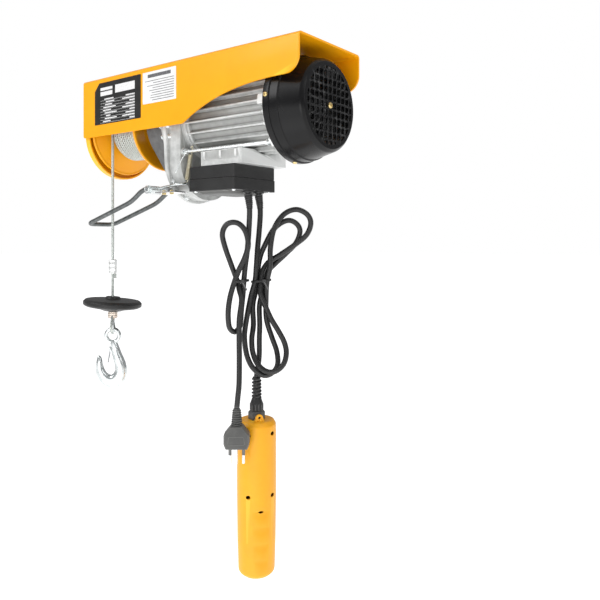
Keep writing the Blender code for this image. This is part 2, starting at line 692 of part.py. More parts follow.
def limit_mechanism():
    zinc = (ZINC, 0.3, 1.0)
    px, pz = PIVOT.x, PIVOT.z
    ears = (-0.0610, -0.0510)
    # Fixed bracket below the gearbox: a flat plate with two ears that carry the pivot pin.
    plate = [(-0.0370, -0.0780), (0.0050, -0.0780), (0.0050, -0.0560), (-0.0060, -0.0410),
             (-0.0370, -0.0410)]
    body = prism("limit_bracket", [plate], "Z", -0.1908, -0.1888, (STEEL, 0.4, 1.0))
    ear = (arc(px, pz, 0.0036, 90, 270, 8) + [(-0.0380, -0.1900), (-0.0280, -0.1900),
                                              (-0.0280, -0.1850), (px + 0.0060, pz + 0.0036)])
    for i, y in enumerate(ears):
        boolean(body, prism(f"limit_bracket_ear_{i}", [ear], "Y", y - 0.0010, y + 0.0010, None,
                            CUTTERS), "UNION")
    boolean(body, cutter("limit_bracket_bore", lambda bm: add_rod(
        bm, (px, -0.056, pz), "Y", 0.0020 + RUN, 0.030, 16)))
    rod("limit_pivot_pin", (px, -0.0483, pz), "Y", 0.0020, 0.0640, zinc, 16)

    # Moving yoke: a bar across both legs, notched clear of the ears, with a hooked arm.
    bar = [(px - 0.0080, pz + 0.0050), (px - 0.0080, pz - 0.0060), (px + 0.0050, pz - 0.0060),
           (px + 0.0075, pz + 0.0000), (px + 0.0050, pz + 0.0050)]
    yoke = prism("limit_yoke", [bar], "Y", LOOP_Y[0] - 0.0050, LOOP_Y[1] + 0.0050, zinc,
                 origin=(px, 0, pz))
    arm = [(px + 0.0030, -0.0670, pz + 0.0020), (-0.0100, -0.0670, -0.1795),
           (0.0010, -0.0640, -0.1785), (0.0026, -0.0560, -0.1772), (0.0000, -0.0500, -0.1755)]
    boolean(yoke, to_mesh(tube("limit_arm", round_corners(arm, 0.004, 2), 0.0018, None,
                               coll=CUTTERS)), "UNION")

    def slots(bm):
        for y in ears:
            add_box(bm, (px - 0.0042, y - 0.0014, pz - 0.0090),
                    (px + 0.0200, y + 0.0014, pz + 0.0090))

    boolean(yoke, cutter("limit_yoke_slots", slots))
    boolean(yoke, cutter("limit_yoke_bore", lambda bm: add_rod(
        bm, (px, -0.05, pz), "Y", 0.0020 + RUN, 0.080, 16)))

    near, far = LOOP_Y
    leg = [(px - 0.0084, 0.0, -0.1833), (-0.0640, 0.0, -0.1835), (-0.0740, 0.0, -0.1870),
           (-0.0960, 0.0, -0.2012), (-0.2050, 0.0, -0.2335)]
    path = [Vector((x, near, z)) for x, y, z in leg] + [Vector((x, far, z)) for x, y, z in leg[::-1]]
    tube("stop_loop", round_corners(path, 0.012), LOOP_R, ((0.16, 0.17, 0.17), 0.4, 0.8),
         origin=PIVOT)

    top, low = Vector((0.0085, -0.0500, -0.1345)), Vector((0.0005, -0.0500, -0.1710))
    turns, each, coil = 8, 6, 0.0028
    points = []
    for i in range(turns * each + 1):
        part = i / (turns * each)
        a = 2 * math.pi * i / each
        middle = top.lerp(low, part)
        points.append(middle + Vector((coil * math.cos(a), coil * math.sin(a), 0)))
    tube("return_spring", points, 0.0006, (BRASS, 0.35, 1.0), origin=top, resolution=1)


# ---------------------------------------------------------------- rope, block and hook

def hook_frame(s, z, out=0.0):
    """A point in the hook's plane: s across, z up, out along the plane's normal."""
    c, n = math.cos(HOOK_TURN), math.sin(HOOK_TURN)
    return Vector((ROPE_X + s * c - out * n, ROPE_Y + s * n + out * c, z))


def rope_and_block():
    zinc = (ZINC, 0.3, 1.0)
    at = (ROPE_X, ROPE_Y)
    length = AXIS_Z - FERRULE_Z[1]
    rod("hanging_rope", (*at, AXIS_Z - length / 2), "Z", ROPE_R, length, zinc, 12,
        origin=(*at, AXIS_Z))
    # Crimp sleeve: oval, two ropes wide.
    oval = []
    for side, start in ((1, -90), (-1, 90)):
        oval += [(0.0026 * side + x, y) for x, y in arc(0, 0, 0.0041, start, start + 180, 6)]
    c, n = math.cos(HOOK_TURN), math.sin(HOOK_TURN)
    turned = [(at[0] + a * c - b * n, at[1] + a * n + b * c) for a, b in oval]
    hole = [(at[0] + a, at[1] + b) for a, b in ring(ROPE_R + GAP, 14)]
    sleeve = prism("rope_crimp_sleeve", [turned, hole], "Z", *SLEEVE_Z, ((0.75, 0.76, 0.76), 0.4, 0.9),
                   origin=(*at, 0))
    sleeve.modifiers.new("edges", "BEVEL").width = 0.0006
    middle = -0.3620
    rows = [(HUB_TOP, 0.0042), (HUB_TOP, 0.0120), (DISC_TOP + 0.0008, 0.0135),
            (DISC_TOP, DISC_R - 0.0040), (DISC_TOP - 0.0025, DISC_R), (-0.3668, DISC_R),
            (-0.3688, DISC_R - 0.0020), (-0.3755, 0.0150), (-0.3755, 0.0042)]
    disc = lathe("limiter_disc", [(h - middle, r) for h, r in rows], (BLACK, 0.45, 0.0),
                 (*at, middle), "Z", 32)
    disc.rotation_euler = Matrix.Rotation(math.radians(DISC_TILT), 4, Vector((-n, c, 0))).to_euler()
    boat = []
    for side, start in ((1, -90), (-1, 90)):
        boat += [(0.0036 * side + x, y) for x, y in arc(0, 0, 0.0042, start, start + 180, 6)]
    turned = [(at[0] + a * c - b * n, at[1] + a * n + b * c) for a, b in boat]
    ferrule = prism("rope_ferrule", [turned], "Z", FERRULE_Z[0], FERRULE_Z[1] - 0.0006,
                    ((0.60, 0.52, 0.45), 0.4, 0.9), origin=(*at, 0))
    ferrule.modifiers.new("edges", "BEVEL").width = 0.0008

    # Thimble: a drop-shaped loop in the plane across the hook.
    r = 0.0032
    low = THIMBLE_BOTTOM + r
    centre = low + 0.0095
    drop = [hook_frame(0, FERRULE_Z[0] - GAP, 0.0012 + r)]
    for a in range(20, -201, -20):
        drop.append(hook_frame(0, centre + 0.0095 * math.sin(math.radians(a)),
                               0.0095 * math.cos(math.radians(a))))
    drop.append(hook_frame(0, FERRULE_Z[0] - GAP, -0.0012 - r))
    tube("rope_thimble", drop, r, zinc, origin=(*at, low), resolution=2)


def loft(bm, stations):
    """Skin rings of equal length and cap both ends."""
    rings = [[bm.verts.new(p) for p in station] for station in stations]
    for a, b in zip(rings, rings[1:]):
        for i in range(len(a)):
            j = (i + 1) % len(a)
            bm.faces.new((a[i], a[j], b[j], b[i]))
    bm.faces.new(rings[0][::-1])
    bm.faces.new(rings[-1])
    bmesh.ops.recalc_face_normals(bm, faces=bm.faces)


def hook_parts():
    """Forged hook: eye ring, swelling bowl and blunt tip, with a sprung latch across the mouth."""
    zinc = (ZINC, 0.3, 1.0)
    swing = (ROPE_X, ROPE_Y, THIMBLE_BOTTOM + 0.0032)
    # Stations: across, below the eye's centre, half width in the plane, half thickness.
    rows = [(1.0, -9.5, 4.6, 3.8), (2.6, -15.0, 6.2, 5.0), (4.6, -22.0, 6.8, 5.8),
            (7.4, -31.5, 7.6, 6.4), (10.6, -40.5, 8.4, 6.9), (13.4, -50.0, 9.2, 7.2),
            (13.9, -59.5, 9.9, 7.4), (10.2, -68.6, 10.9, 7.4), (3.6, -74.2, 11.3, 7.3),
            (-4.4, -74.6, 10.6, 7.0), (-12.0, -70.6, 9.4, 6.5), (-17.8, -63.4, 8.0, 6.0),
            (-21.0, -54.6, 6.9, 5.5), (-21.8, -46.2, 5.7, 4.9), (-21.6, -39.5, 4.3, 4.0),
            (-22.2, -34.2, 2.4, 2.4)]
    mids = [Vector((s / 1000, 0, z / 1000)) for s, z, w, t in rows]
    sides = 10
    stations = []
    for i, (s, z, w, t) in enumerate(rows):
        ahead = mids[min(i + 1, len(rows) - 1)] - mids[max(i - 1, 0)]
        across = Vector((-ahead.z, 0, ahead.x)).normalized()
        station = []
        for k in range(sides):
            a = 2 * math.pi * (k + 0.5) / sides
            p = mids[i] + across * (w / 1000) * math.cos(a)
            station.append(hook_frame(p.x, EYE_Z + p.z, (t / 1000) * math.sin(a)))
        stations.append(station)
    bm = bmesh.new()
    loft(bm, stations)
    body = mesh_object("hook", bm, zinc, origin=swing)

    def eye(bm):
        rings = 20
        made = []
        for i in range(rings):
            a = 2 * math.pi * i / rings
            loop = []
            for k in range(8):
                b = 2 * math.pi * (k + 0.5) / 8
                r = 0.0107 + 0.0032 * math.cos(b)
                loop.append(bm.verts.new(hook_frame(r * math.cos(a), EYE_Z + r * math.sin(a),
                                                    0.0032 * math.sin(b))))
            made.append(loop)
        for i in range(rings):
            a, b = made[i], made[(i + 1) % rings]
            for k in range(8):
                j = (k + 1) % 8
                bm.faces.new((a[k], a[j], b[j], b[k]))
        bmesh.ops.recalc_face_normals(bm, faces=bm.faces)

    boolean(body, cutter("hook_eye", eye), "UNION")
    normal = hook_frame(0, 0, 1) - hook_frame(0, 0, 0)
    pin_s, pin_z = -0.0064, EYE_Z - 0.0223

    def lug(bm):
        add_rod(bm, hook_frame(pin_s + 0.0022, pin_z - 0.0002), normal, 0.0042, 0.0050, 16)

    boolean(body, cutter("hook_latch_lug", lug), "UNION")
    boolean(body, cutter("hook_latch_pin", lambda bm: add_rod(
        bm, hook_frame(pin_s, pin_z), normal, 0.0013, 0.0100, 12)), "UNION")

    # Latch: a folded channel round the lug that closes against the inside of the tip.
    tip_s, tip_z = -0.0105, EYE_Z - 0.0455
    pivot = hook_frame(pin_s, pin_z)
    down = (hook_frame(tip_s, tip_z) - pivot)
    length = down.length
    down.normalize()
    side = normal.cross(down).normalized()
    turn = Matrix((side, normal, down)).transposed().to_4x4()
    spot = Matrix.Translation(pivot) @ turn

    def slab(bm, x0, x1, y0, y1, z0, z1):
        size = Matrix.Diagonal((x1 - x0, y1 - y0, z1 - z0, 1.0))
        mid = Matrix.Translation(((x0 + x1) / 2, (y0 + y1) / 2, (z0 + z1) / 2))
        bmesh.ops.create_cube(bm, size=1.0, matrix=spot @ mid @ size)
        bmesh.ops.recalc_face_normals(bm, faces=bm.faces)

    bm = bmesh.new()
    slab(bm, -0.0030, 0.0030, -0.0042, 0.0042, -0.0030, length)
    latch = mesh_object("hook_latch", bm, (STEEL, 0.4, 0.9), origin=pivot)
    boolean(latch, cutter("latch_fold", lambda bm: slab(bm, -0.0050, 0.0018, -0.0030, 0.0030,
                                                        -0.0050, length - 0.0018)))
    boolean(latch, cutter("latch_lug_room", lambda bm: slab(bm, -0.0050, 0.0050, -0.0030, 0.0030,
                                                            -0.0050, 0.0050)))
    boolean(latch, cutter("latch_bore", lambda bm: add_rod(bm, pivot, normal, 0.0013 + RUN, 0.03,
                                                           12)))


# ---------------------------------------------------------------- pendant handset

def pend_frame(across, out, z):
    """A point by the handset: across its width, out through its front, at height z."""
    front = PEND_FRONT
    side = Vector((-front.y, front.x, 0))
    return PEND + side * across + front * out + Vector((0, 0, z))


def pendant():
    r, t = PEND_R, PEND_WALL
    top, low = PEND_TOP, PEND_BOTTOM
    skin = [(top, 0), (top, r - 0.0075), (top - 0.0025, r - 0.0028), (top - 0.0075, r - 0.0004),
            (top - 0.0200, r), (-0.6200, r), (-0.6900, r - 0.0008), (low + 0.0090, r - 0.0022),
            (low + 0.0030, r - 0.0055), (low, r - 0.0105), (low, 0)]
    room = [(top - t, 0), (top - t, r - 0.0100), (top - 0.0080, r - 0.0030),
            (-0.6200, r - t), (low + 0.0100, r - 0.0048), (low + t, r - 0.0125), (low + t, 0)]
    yellow = (YELLOW, 0.45, 0.0)

    def half(name, sign):
        body = lathe(name, skin, yellow, (PEND.x, PEND.y, 0), "Z", 32)
        body.rotation_euler = (0, 0, math.atan2(PEND_FRONT.y, PEND_FRONT.x))
        if sign > 0:
            def panel(bm):
                turn = Matrix((PEND_FRONT, Vector((-PEND_FRONT.y, PEND_FRONT.x, 0)),
                               Vector((0, 0, 1)))).transposed().to_4x4()
                mid = Matrix.Translation(pend_frame(0, 0.0240, sum(PANEL_Z) / 2))
                size = Matrix.Diagonal((0.0260, 0.0440, PANEL_Z[1] - PANEL_Z[0], 1.0))
                bmesh.ops.create_cube(bm, size=1.0, matrix=mid @ turn @ size)
            boolean(body, cutter("pendant_panel", panel), "UNION")
        room_cut = lathe(name + "_room", room, None, (PEND.x, PEND.y, 0), "Z", 24, CUTTERS)
        room_cut.rotation_euler = body.rotation_euler
        boolean(body, room_cut)

        def away(bm):
            turn = Matrix((PEND_FRONT, Vector((-PEND_FRONT.y, PEND_FRONT.x, 0)),
                           Vector((0, 0, 1)))).transposed().to_4x4()
            mid = Matrix.Translation(pend_frame(0, -sign * (0.05 - GAP / 2), (top + low) / 2))
            bmesh.ops.create_cube(bm, size=1.0, matrix=mid @ turn @ Matrix.Diagonal(
                (0.10, 0.20, 0.30, 1.0)))
        boolean(body, cutter(name + "_away", away))
        boolean(body, cutter(name + "_mouth", lambda bm: add_rod(
            bm, (PEND.x, PEND.y, top), "Z", 0.0080, 0.02, 20)))
        boolean(body, cutter(name + "_drain", lambda bm: add_rod(
            bm, (PEND.x, PEND.y, low), "Z", 0.0042, 0.02, 16)))
        return body

    front = half("pendant_front_shell", 1)
    rear = half("pendant_rear_shell", -1)

    # Lifting eye for the handset's strain wire, and finger grooves down the back.
    rear_turn = Matrix((PEND_FRONT, Vector((-PEND_FRONT.y, PEND_FRONT.x, 0)),
                        Vector((0, 0, 1)))).transposed().to_4x4()

    def lug(bm):
        mid = Matrix.Translation(pend_frame(0, -0.0158, top + 0.0005))
        bmesh.ops.create_cube(bm, size=1.0, matrix=mid @ rear_turn @ Matrix.Diagonal(
            (0.0030, 0.0114, 0.0080, 1.0)))

    boolean(rear, cutter("pendant_eye", lug), "UNION")
    boolean(rear, cutter("pendant_eye_round", lambda bm: add_rod(
        bm, pend_frame(0, -0.0158, top + 0.0044), PEND_FRONT, 0.0057, 0.0034, 18)), "UNION")
    boolean(rear, cutter("pendant_eye_hole", lambda bm: add_rod(
        bm, pend_frame(0, -0.0158, top + 0.0052), PEND_FRONT, 0.0022, 0.02, 14)))

    def grooves(bm):
        side = rear_turn.col[1].to_3d()
        for z in GROOVE_Z:
            add_rod(bm, pend_frame(0, -(r + 0.0110 - 0.0014), z), side, 0.0110, 0.08, 20)

    boolean(rear, cutter("pendant_grooves", grooves))

    def wells(bm):
        for z in BUTTON_Z:
            add_rod(bm, pend_frame(0, 0.0300, z), PEND_FRONT, BUTTON_R + 0.0004, 0.0500, 24)

    boolean(front, cutter("button_wells", wells))
    for name, z, colour in (("up_button", BUTTON_Z[0], (0.02, 0.02, 0.02)),
                            ("down_button", BUTTON_Z[1], (0.02, 0.02, 0.02))):
        lathe(name, [(0.0150, 0), (0.0150, BUTTON_R), (0.0400, BUTTON_R), (0.0415, BUTTON_R - 0.0015),
                     (0.0415, 0)], (colour, 0.4, 0.0), tuple(pend_frame(0, 0, z)),
              tuple(PEND_FRONT), 24)
    bm = bmesh.new()
    turn = Matrix((PEND_FRONT, Vector((-PEND_FRONT.y, PEND_FRONT.x, 0)),
                   Vector((0, 0, 1)))).transposed().to_4x4()
    mid = Matrix.Translation(pend_frame(0, 0.0010, sum(BUTTON_Z) / 2))
    bmesh.ops.create_cube(bm, size=1.0, matrix=mid @ turn @ Matrix.Diagonal(
        (0.0180, 0.0240, 0.0620, 1.0)))
    mesh_object("pendant_switch_block", bm, ((0.03, 0.03, 0.03), 0.5, 0.0),
                origin=pend_frame(0, 0, sum(BUTTON_Z) / 2))
    lathe("pendant_end_plug", [(low - 0.0054, 0), (low - 0.0054, 0.0058), (low - GAP, 0.0064),
                               (low - GAP, 0.0039), (low + t + 0.003, 0.0039),
                               (low + t + 0.003, 0)], (BLACK, 0.6, 0.0), (PEND.x, PEND.y, 0),
          "Z", 20)
    # Gland nut whose cap runs on into a spiral strain relief.
    bore = CORD_R + GAP
    nut = [(top + GAP, bore), (top + GAP, 0.0112), (top + 0.0125, 0.0112),
           (top + 0.0130, 0.0098), (top + 0.0250, 0.0090), (top + 0.0293, 0.0072)]
    for i in range(6):
        z, r = top + 0.0293 + 0.0047 * i, 0.0071 - 0.0001 * i
        nut += [(z + 0.0006, 0.0056), (z + 0.0018, 0.0056), (z + 0.0024, r), (z + 0.0047, r)]
    nut += [(top + 0.0610, 0.0058), (top + 0.0610, bore)]
    lathe("pendant_gland_nut", nut, (BLACK, 0.5, 0.0), (PEND.x, PEND.y, 0), "Z", 12)


# ---------------------------------------------------------------- cords

def hank(exit_at, s, z, out):
    """A point in the hank's upright plane: s across, z down from the exit, out away from the front."""
    c, n = math.cos(HANK_TURN), math.sin(HANK_TURN)
    return exit_at + Vector((s * c - out * n, s * n + out * c, z))


# Routes as (across, height, out) in millimetres from each cord's exit. Each hank is gathered
# by a tie about 0.125 m below the box, with its loops above and below.
MAINS_ROUTE = [
    (0, 8, 0), (0, 0, 0), (2, -20.5, 1), (1, -48, 4), (-1.5, -80, 6), (-4.5, -103, 6.5),
    (-6.5, -123.5, 7), (-8, -145.5, 6.5), (-10, -165.5, 5), (-11, -181.5, 3), (-12.8, -191, 1.2),
    (-19.3, -196.8, -2), (-25.8, -190.8, -5), (-27.7, -178.5, -7), (-27.5, -163, -7), (-25, -146, -6),
    (-20, -128, -5), (-13.5, -110, -4.5), (-4.5, -91, -5), (0.5, -72.5, -6), (-3, -54.5, -5),
    (-11.5, -43.5, -4), (-22, -40.5, -2), (-32, -45, 0), (-37, -58, 2), (-33, -77, 4),
    (-26, -97.5, 6), (-19.5, -115, 6), (-15, -126.5, 3.5), (-12.5, -137.5, -0.5),
    (-9, -151.5, -4.5), (-12, -178.5, -7.5), (-12, -206, -10), (-11.5, -236.5, -14),
    (-11.5, -266.5, -18), (-13, -284.5, -20), (-14.5, -300, -20.5)]
PENDANT_ROUTE = [
    (0, 8, 0), (0, 0, 0), (2.5, -24, 0), (1, -52, -1), (-1.5, -80, -3), (-3, -103.5, -5),
    (-5, -125.5, -4.5), (-11.5, -150.5, -5), (-19, -193, -8), (-19.5, -212, -10),
    (-15.5, -234, -11), (-6.5, -250.5, -12.5), (8.5, -260, -13), (21, -256, -12), (28, -245, -9),
    (26.5, -227, -3), (19, -206, 0), (11.5, -180.5, 0), (11, -149.5, -1), (12.5, -125.5, -4.5),
    (17, -103.5, -7), (17.5, -77, -7), (23, -49, -6), (37, -28.5, -4), (54.5, -21.5, -3),
    (70, -28, -2), (76, -41, -1), (70, -58, 0), (53, -72.5, 1), (32.5, -86.5, 2), (14.5, -98, 2),
    (6, -111, -1), (3.5, -125.5, -4.5), (3, -143, -8), (10.5, -161.5, -9.5), (19, -180, -10),
    (29.5, -197, -12), (38, -213.5, -14), (40.5, -228.5, -17), (36, -243.5, -20),
    (23.5, -253, -21.5), (10.5, -252.5, -18.5), (-1, -243, -14), (-8, -227, -9),
    (-9.5, -208.5, -6), (-7.5, -189, -1), (-8.5, -161.5, 2), (-5, -142.5, 4), (-1.5, -123, 4.5),
    (-0.5, -104, 6.5), (3, -87.5, 7), (10, -71.5, 5), (20.5, -52, 4), (32.5, -41, 5), (45, -37, 6),
    (56, -42.5, 8), (60.5, -53.5, 9), (54.5, -70, 10), (39.5, -86, 11), (23.5, -101, 11),
    (12, -113, 8), (8, -126, 5), (4.5, -145.5, 5), (1, -163, 5), (1.5, -189.5, 4), (1, -210.5, 2.5),
    (1, -232, 1), (-0.5, -248.5, 0.5), (-2.8, -263.5, 0), (-2.8, -292, 0), (-2.8, -322.5, 0)]


def cords():
    dark = ((0.02, 0.02, 0.021), 0.45, 0.0)
    for name, exit_at, route in (("mains_cord", MAINS_EXIT, MAINS_ROUTE),
                                 ("pendant_cord", PENDANT_EXIT, PENDANT_ROUTE)):
        points = [hank(exit_at, *(v / 1000 for v in stop)) for stop in route]
        tube(name, smooth_path(points, 0.0090), CORD_R, dark, origin=exit_at, resolution=1)


def mains_plug():
    """Moulded plug with two live pins and an offset earth pin that hangs below the mains hank."""
    top = PLUG.z

    def at(s, z, out):
        return hank(Vector((PLUG.x, PLUG.y, 0)), s, z, out)

    body = lathe("mains_plug", [(top, 0), (top, 0.0062), (top - 0.0230, 0.0090),
                                (top - 0.0250, 0.0102), (top - 0.0300, 0.0102),
                                (top - 0.0300, 0)], ((0.085, 0.085, 0.083), 0.5, 0.0),
                 (PLUG.x, PLUG.y, 0), "Z", 20)
    half = [(-0.0085, -0.0235), (0.0085, -0.0235), (0.0178, -0.0360), (0.0178, -0.0470),
            (0.0150, -0.0550), (-0.0150, -0.0550), (-0.0178, -0.0470), (-0.0178, -0.0360)]

    def block(bm):
        rings = []
        for out, inset in ((-0.0110, 0.0020), (-0.0090, 0.0), (0.0090, 0.0), (0.0110, 0.0020)):
            middle = sum(z for s, z in half) / len(half)
            rings.append([at(s * (1 - inset / 0.0178), top + middle
                             + (z - middle) * (1 - inset / 0.0178), out) for s, z in half])
        loft(bm, rings)

    boolean(body, cutter("mains_plug_block", block), "UNION")
    for i, (s, out) in enumerate(PLUG_PINS):
        boolean(body, cutter(f"mains_plug_pin_{i}", lambda bm, s=s, out=out: add_rod(
            bm, at(s, top - 0.0650, out), "Z", 0.0022, 0.0240, 14)), "UNION")


def build():
    frame_channel()
    end_plate()
    drum_parts()
    gear_train()
    gearbox()
    motor_housing()
    motor_plinth()
    motor_inside()
    end_shield()
    tie_rods()
    fan()
    fan_cover()
    control_box()
    limit_mechanism()
    rope_and_block()
    hook_parts()
    pendant()
    cords()
    mains_plug()


build()
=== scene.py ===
"""The looks of the electric wire rope hoist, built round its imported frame.

Metres, +Z up, as in the frame: +X points to the motor end, -Y to the front panel, and the origin is
the centre of the frame's top face. Each visible piece stands for a CAD node and rides on its body.
"""

import json
import math

import bmesh
import bpy
from mathutils import Matrix, Vector

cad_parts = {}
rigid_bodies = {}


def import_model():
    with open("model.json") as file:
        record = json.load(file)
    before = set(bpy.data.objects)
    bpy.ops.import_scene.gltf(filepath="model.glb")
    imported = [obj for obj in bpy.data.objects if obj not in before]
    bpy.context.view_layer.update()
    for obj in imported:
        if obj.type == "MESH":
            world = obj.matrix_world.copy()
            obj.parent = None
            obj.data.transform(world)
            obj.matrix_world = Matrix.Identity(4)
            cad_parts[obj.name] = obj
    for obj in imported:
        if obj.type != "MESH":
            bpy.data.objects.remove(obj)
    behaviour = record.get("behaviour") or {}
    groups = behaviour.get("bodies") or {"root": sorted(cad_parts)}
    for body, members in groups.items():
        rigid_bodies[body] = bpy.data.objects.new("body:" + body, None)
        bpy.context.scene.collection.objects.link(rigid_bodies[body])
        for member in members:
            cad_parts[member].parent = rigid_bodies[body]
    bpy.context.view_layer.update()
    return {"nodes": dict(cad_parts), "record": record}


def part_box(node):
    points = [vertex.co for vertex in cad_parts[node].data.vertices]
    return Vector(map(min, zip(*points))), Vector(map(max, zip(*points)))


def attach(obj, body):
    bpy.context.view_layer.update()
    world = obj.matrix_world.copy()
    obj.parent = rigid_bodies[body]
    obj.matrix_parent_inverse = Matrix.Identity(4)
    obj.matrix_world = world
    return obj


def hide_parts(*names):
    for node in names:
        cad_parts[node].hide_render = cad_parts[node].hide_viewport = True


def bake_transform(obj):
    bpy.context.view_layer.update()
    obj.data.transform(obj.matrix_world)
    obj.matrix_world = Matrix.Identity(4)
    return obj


for old in list(bpy.data.objects):
    bpy.data.objects.remove(old, do_unlink=True)

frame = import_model()
NODES = frame["nodes"]
RECORD = frame["record"]
SLOT = {row["node"]: row["material_slot"] for row in RECORD["subparts"]}
BODY = {node: body for body, nodes in RECORD["behaviour"]["bodies"].items() for node in nodes}


# ---------------------------------------------------------------- sizes read from the frame

def centre(node):
    low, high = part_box(node)
    return (low + high) / 2


CHANNEL_LOW, CHANNEL_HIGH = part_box("frame_channel")
HALF_L, HALF_W, DEEP = CHANNEL_HIGH.x, CHANNEL_HIGH.y, -CHANNEL_LOW.z
SHEET = 0.0028
SHALLOW = 0.0505            # depth of the side panel at the motor end
AXIS_Z = centre("drum_shaft").z
LAY_Z = centre("layshaft_wheel").z
ROPE = centre("hanging_rope")
ROPE_R = 0.00225
DRUM_LOW, DRUM_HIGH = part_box("rope_drum")
DRUM_MID = (DRUM_LOW.x + DRUM_HIGH.x) / 2
RIM_R = (DRUM_HIGH.z - DRUM_LOW.z) / 2
BOX_LOW, BOX_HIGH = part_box("control_box_lid")[0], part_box("control_box")[1]
BOX_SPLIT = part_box("control_box_lid")[1].z
SLEEVE_LOW, SLEEVE_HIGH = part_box("rope_crimp_sleeve")
FERRULE_LOW, FERRULE_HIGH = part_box("rope_ferrule")
EYE_Z = -0.4161
FACING = math.radians(37.34)   # the hook, the hanks and the plug all lie square to this turn
PEND_LOW, PEND_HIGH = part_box("pendant_rear_shell")
PEND = Vector((0.0844, 0.0083, 0.0))
PEND_R, PEND_TOP, PEND_BOTTOM = 0.0285, -0.5190, -0.7430
PEND_FRONT = Vector((-0.812, 0.583, 0.0)).normalized()
PEND_SIDE = Vector((-PEND_FRONT.y, PEND_FRONT.x, 0.0))
CORD_R = 0.0039
MAINS_EXIT = Vector((0.0862, -0.0125, -0.1935))
PENDANT_EXIT = Vector((0.0867, 0.0100, -0.1935))
TIES = ((-0.0500, -0.0485), (0.0500, -0.0485), (-0.0450, 0.0450), (0.0450, 0.0450))
FINS = 22


# ---------------------------------------------------------------- materials

def link(tree, a, b):
    tree.links.new(a, b)


def node(tree, kind, **values):
    made = tree.nodes.new(kind)
    for key, value in values.items():
        if key in made.inputs:
            made.inputs[key].default_value = value
        else:
            setattr(made, key, value)
    return made


def ramp(tree, source, stops):
    """A colour ramp with (place, colour) stops."""
    made = tree.nodes.new("ShaderNodeValToRGB")
    band = made.color_ramp
    while len(band.elements) < len(stops):
        band.elements.new(0.5)
    for element, (place, colour) in zip(band.elements, stops):
        element.position = place
        element.color = (*colour, 1.0)
    link(tree, source, made.inputs["Fac"])
    return made.outputs["Color"]


def mix(tree, factor, a, b):
    """Blend two colours; each of a, b and factor is a socket or a constant."""
    made = node(tree, "ShaderNodeMix", data_type="RGBA")
    for socket, value in ((made.inputs[0], factor), (made.inputs[6], a), (made.inputs[7], b)):
        if isinstance(value, bpy.types.NodeSocket):
            link(tree, value, socket)
        elif isinstance(value, tuple):
            socket.default_value = (*value, 1.0)
        else:
            socket.default_value = value
    return made.outputs[2]


def finish(name, base, second, rough, metal=0.0, grain=60.0, stretch=(1, 1, 1), spread=0.08,
           bump=0.15, fine=900.0, edge_highlight=None, highlight_band=(0.53, 0.60), coat=0.0, crease_shade=None, specular=0.5):
    """A procedural finish: two tones in soft patches, uneven gloss, fine relief, painted highlights
    on the sharp edges and painted shade in the creases.
    """
    mat = bpy.data.materials.new(name)
    mat.use_nodes = True
    tree = mat.node_tree
    shader = tree.nodes["Principled BSDF"]
    shader.inputs["Metallic"].default_value = metal
    shader.inputs["Coat Weight"].default_value = coat
    shader.inputs["Coat Roughness"].default_value = 0.12
    shader.inputs["Specular IOR Level"].default_value = specular
    place = node(tree, "ShaderNodeTexCoord").outputs["Object"]
    spot = node(tree, "ShaderNodeMapping", Scale=stretch)
    link(tree, place, spot.inputs["Vector"])
    broad = node(tree, "ShaderNodeTexNoise", Scale=grain, Detail=5.0, Roughness=0.6)
    link(tree, spot.outputs["Vector"], broad.inputs["Vector"])
    tone = ramp(tree, broad.outputs["Fac"], ((0.36, base), (0.66, second)))
    geometry = node(tree, "ShaderNodeNewGeometry")
    # Painted shade: concave creases are darkened towards this colour.
    if crease_shade:
        low = ramp(tree, geometry.outputs["Pointiness"], ((0.44, (1, 1, 1)), (0.49, (0, 0, 0))))
        tone = mix(tree, low, tone, crease_shade)
    # Painted highlight: sharp convex edges are lightened towards this colour.
    if edge_highlight:
        high = ramp(tree, geometry.outputs["Pointiness"],
                    ((highlight_band[0], (0, 0, 0)), (highlight_band[1], (1, 1, 1))))
        tone = mix(tree, high, tone, edge_highlight)
    link(tree, tone, shader.inputs["Base Color"])
    small = node(tree, "ShaderNodeTexNoise", Scale=fine, Detail=4.0, Roughness=0.65)
    link(tree, spot.outputs["Vector"], small.inputs["Vector"])
    gloss = node(tree, "ShaderNodeMapRange")
    gloss.inputs["To Min"].default_value = max(0.02, rough - spread)
    gloss.inputs["To Max"].default_value = min(1.0, rough + spread)
    link(tree, broad.outputs["Fac"], gloss.inputs["Value"])
    link(tree, gloss.outputs["Result"], shader.inputs["Roughness"])
    relief = node(tree, "ShaderNodeBump", Strength=bump, Distance=0.0003)
    link(tree, small.outputs["Fac"], relief.inputs["Height"])
    link(tree, relief.outputs["Normal"], shader.inputs["Normal"])
    return mat


def rope_finish(name, base, second, rough):
    """Bright wires that lie across each strand, drawn along the piece's own UV map."""
    mat = finish(name, base, second, rough, 0.85, 300.0, bump=0.2)
    tree = mat.node_tree
    shader = tree.nodes["Principled BSDF"]
    uv = node(tree, "ShaderNodeUVMap", uv_map="lay")
    wires = node(tree, "ShaderNodeTexWave", Scale=1.0, Distortion=0.4)
    wires.bands_direction = "DIAGONAL"
    link(tree, uv.outputs["UV"], wires.inputs["Vector"])
    old = shader.inputs["Base Color"].links[0].from_socket
    dark = ramp(tree, wires.outputs["Fac"], ((0.05, (0.30, 0.31, 0.31)), (0.45, (1, 1, 1))))
    shade = node(tree, "ShaderNodeMix", data_type="RGBA", blend_type="MULTIPLY")
    shade.inputs[0].default_value = 0.8
    link(tree, old, shade.inputs[6])
    link(tree, dark, shade.inputs[7])
    link(tree, shade.outputs[2], shader.inputs["Base Color"])
    relief = node(tree, "ShaderNodeBump", Strength=0.5, Distance=0.0002)
    link(tree, wires.outputs["Fac"], relief.inputs["Height"])
    link(tree, relief.outputs["Normal"], shader.inputs["Normal"])
    return mat


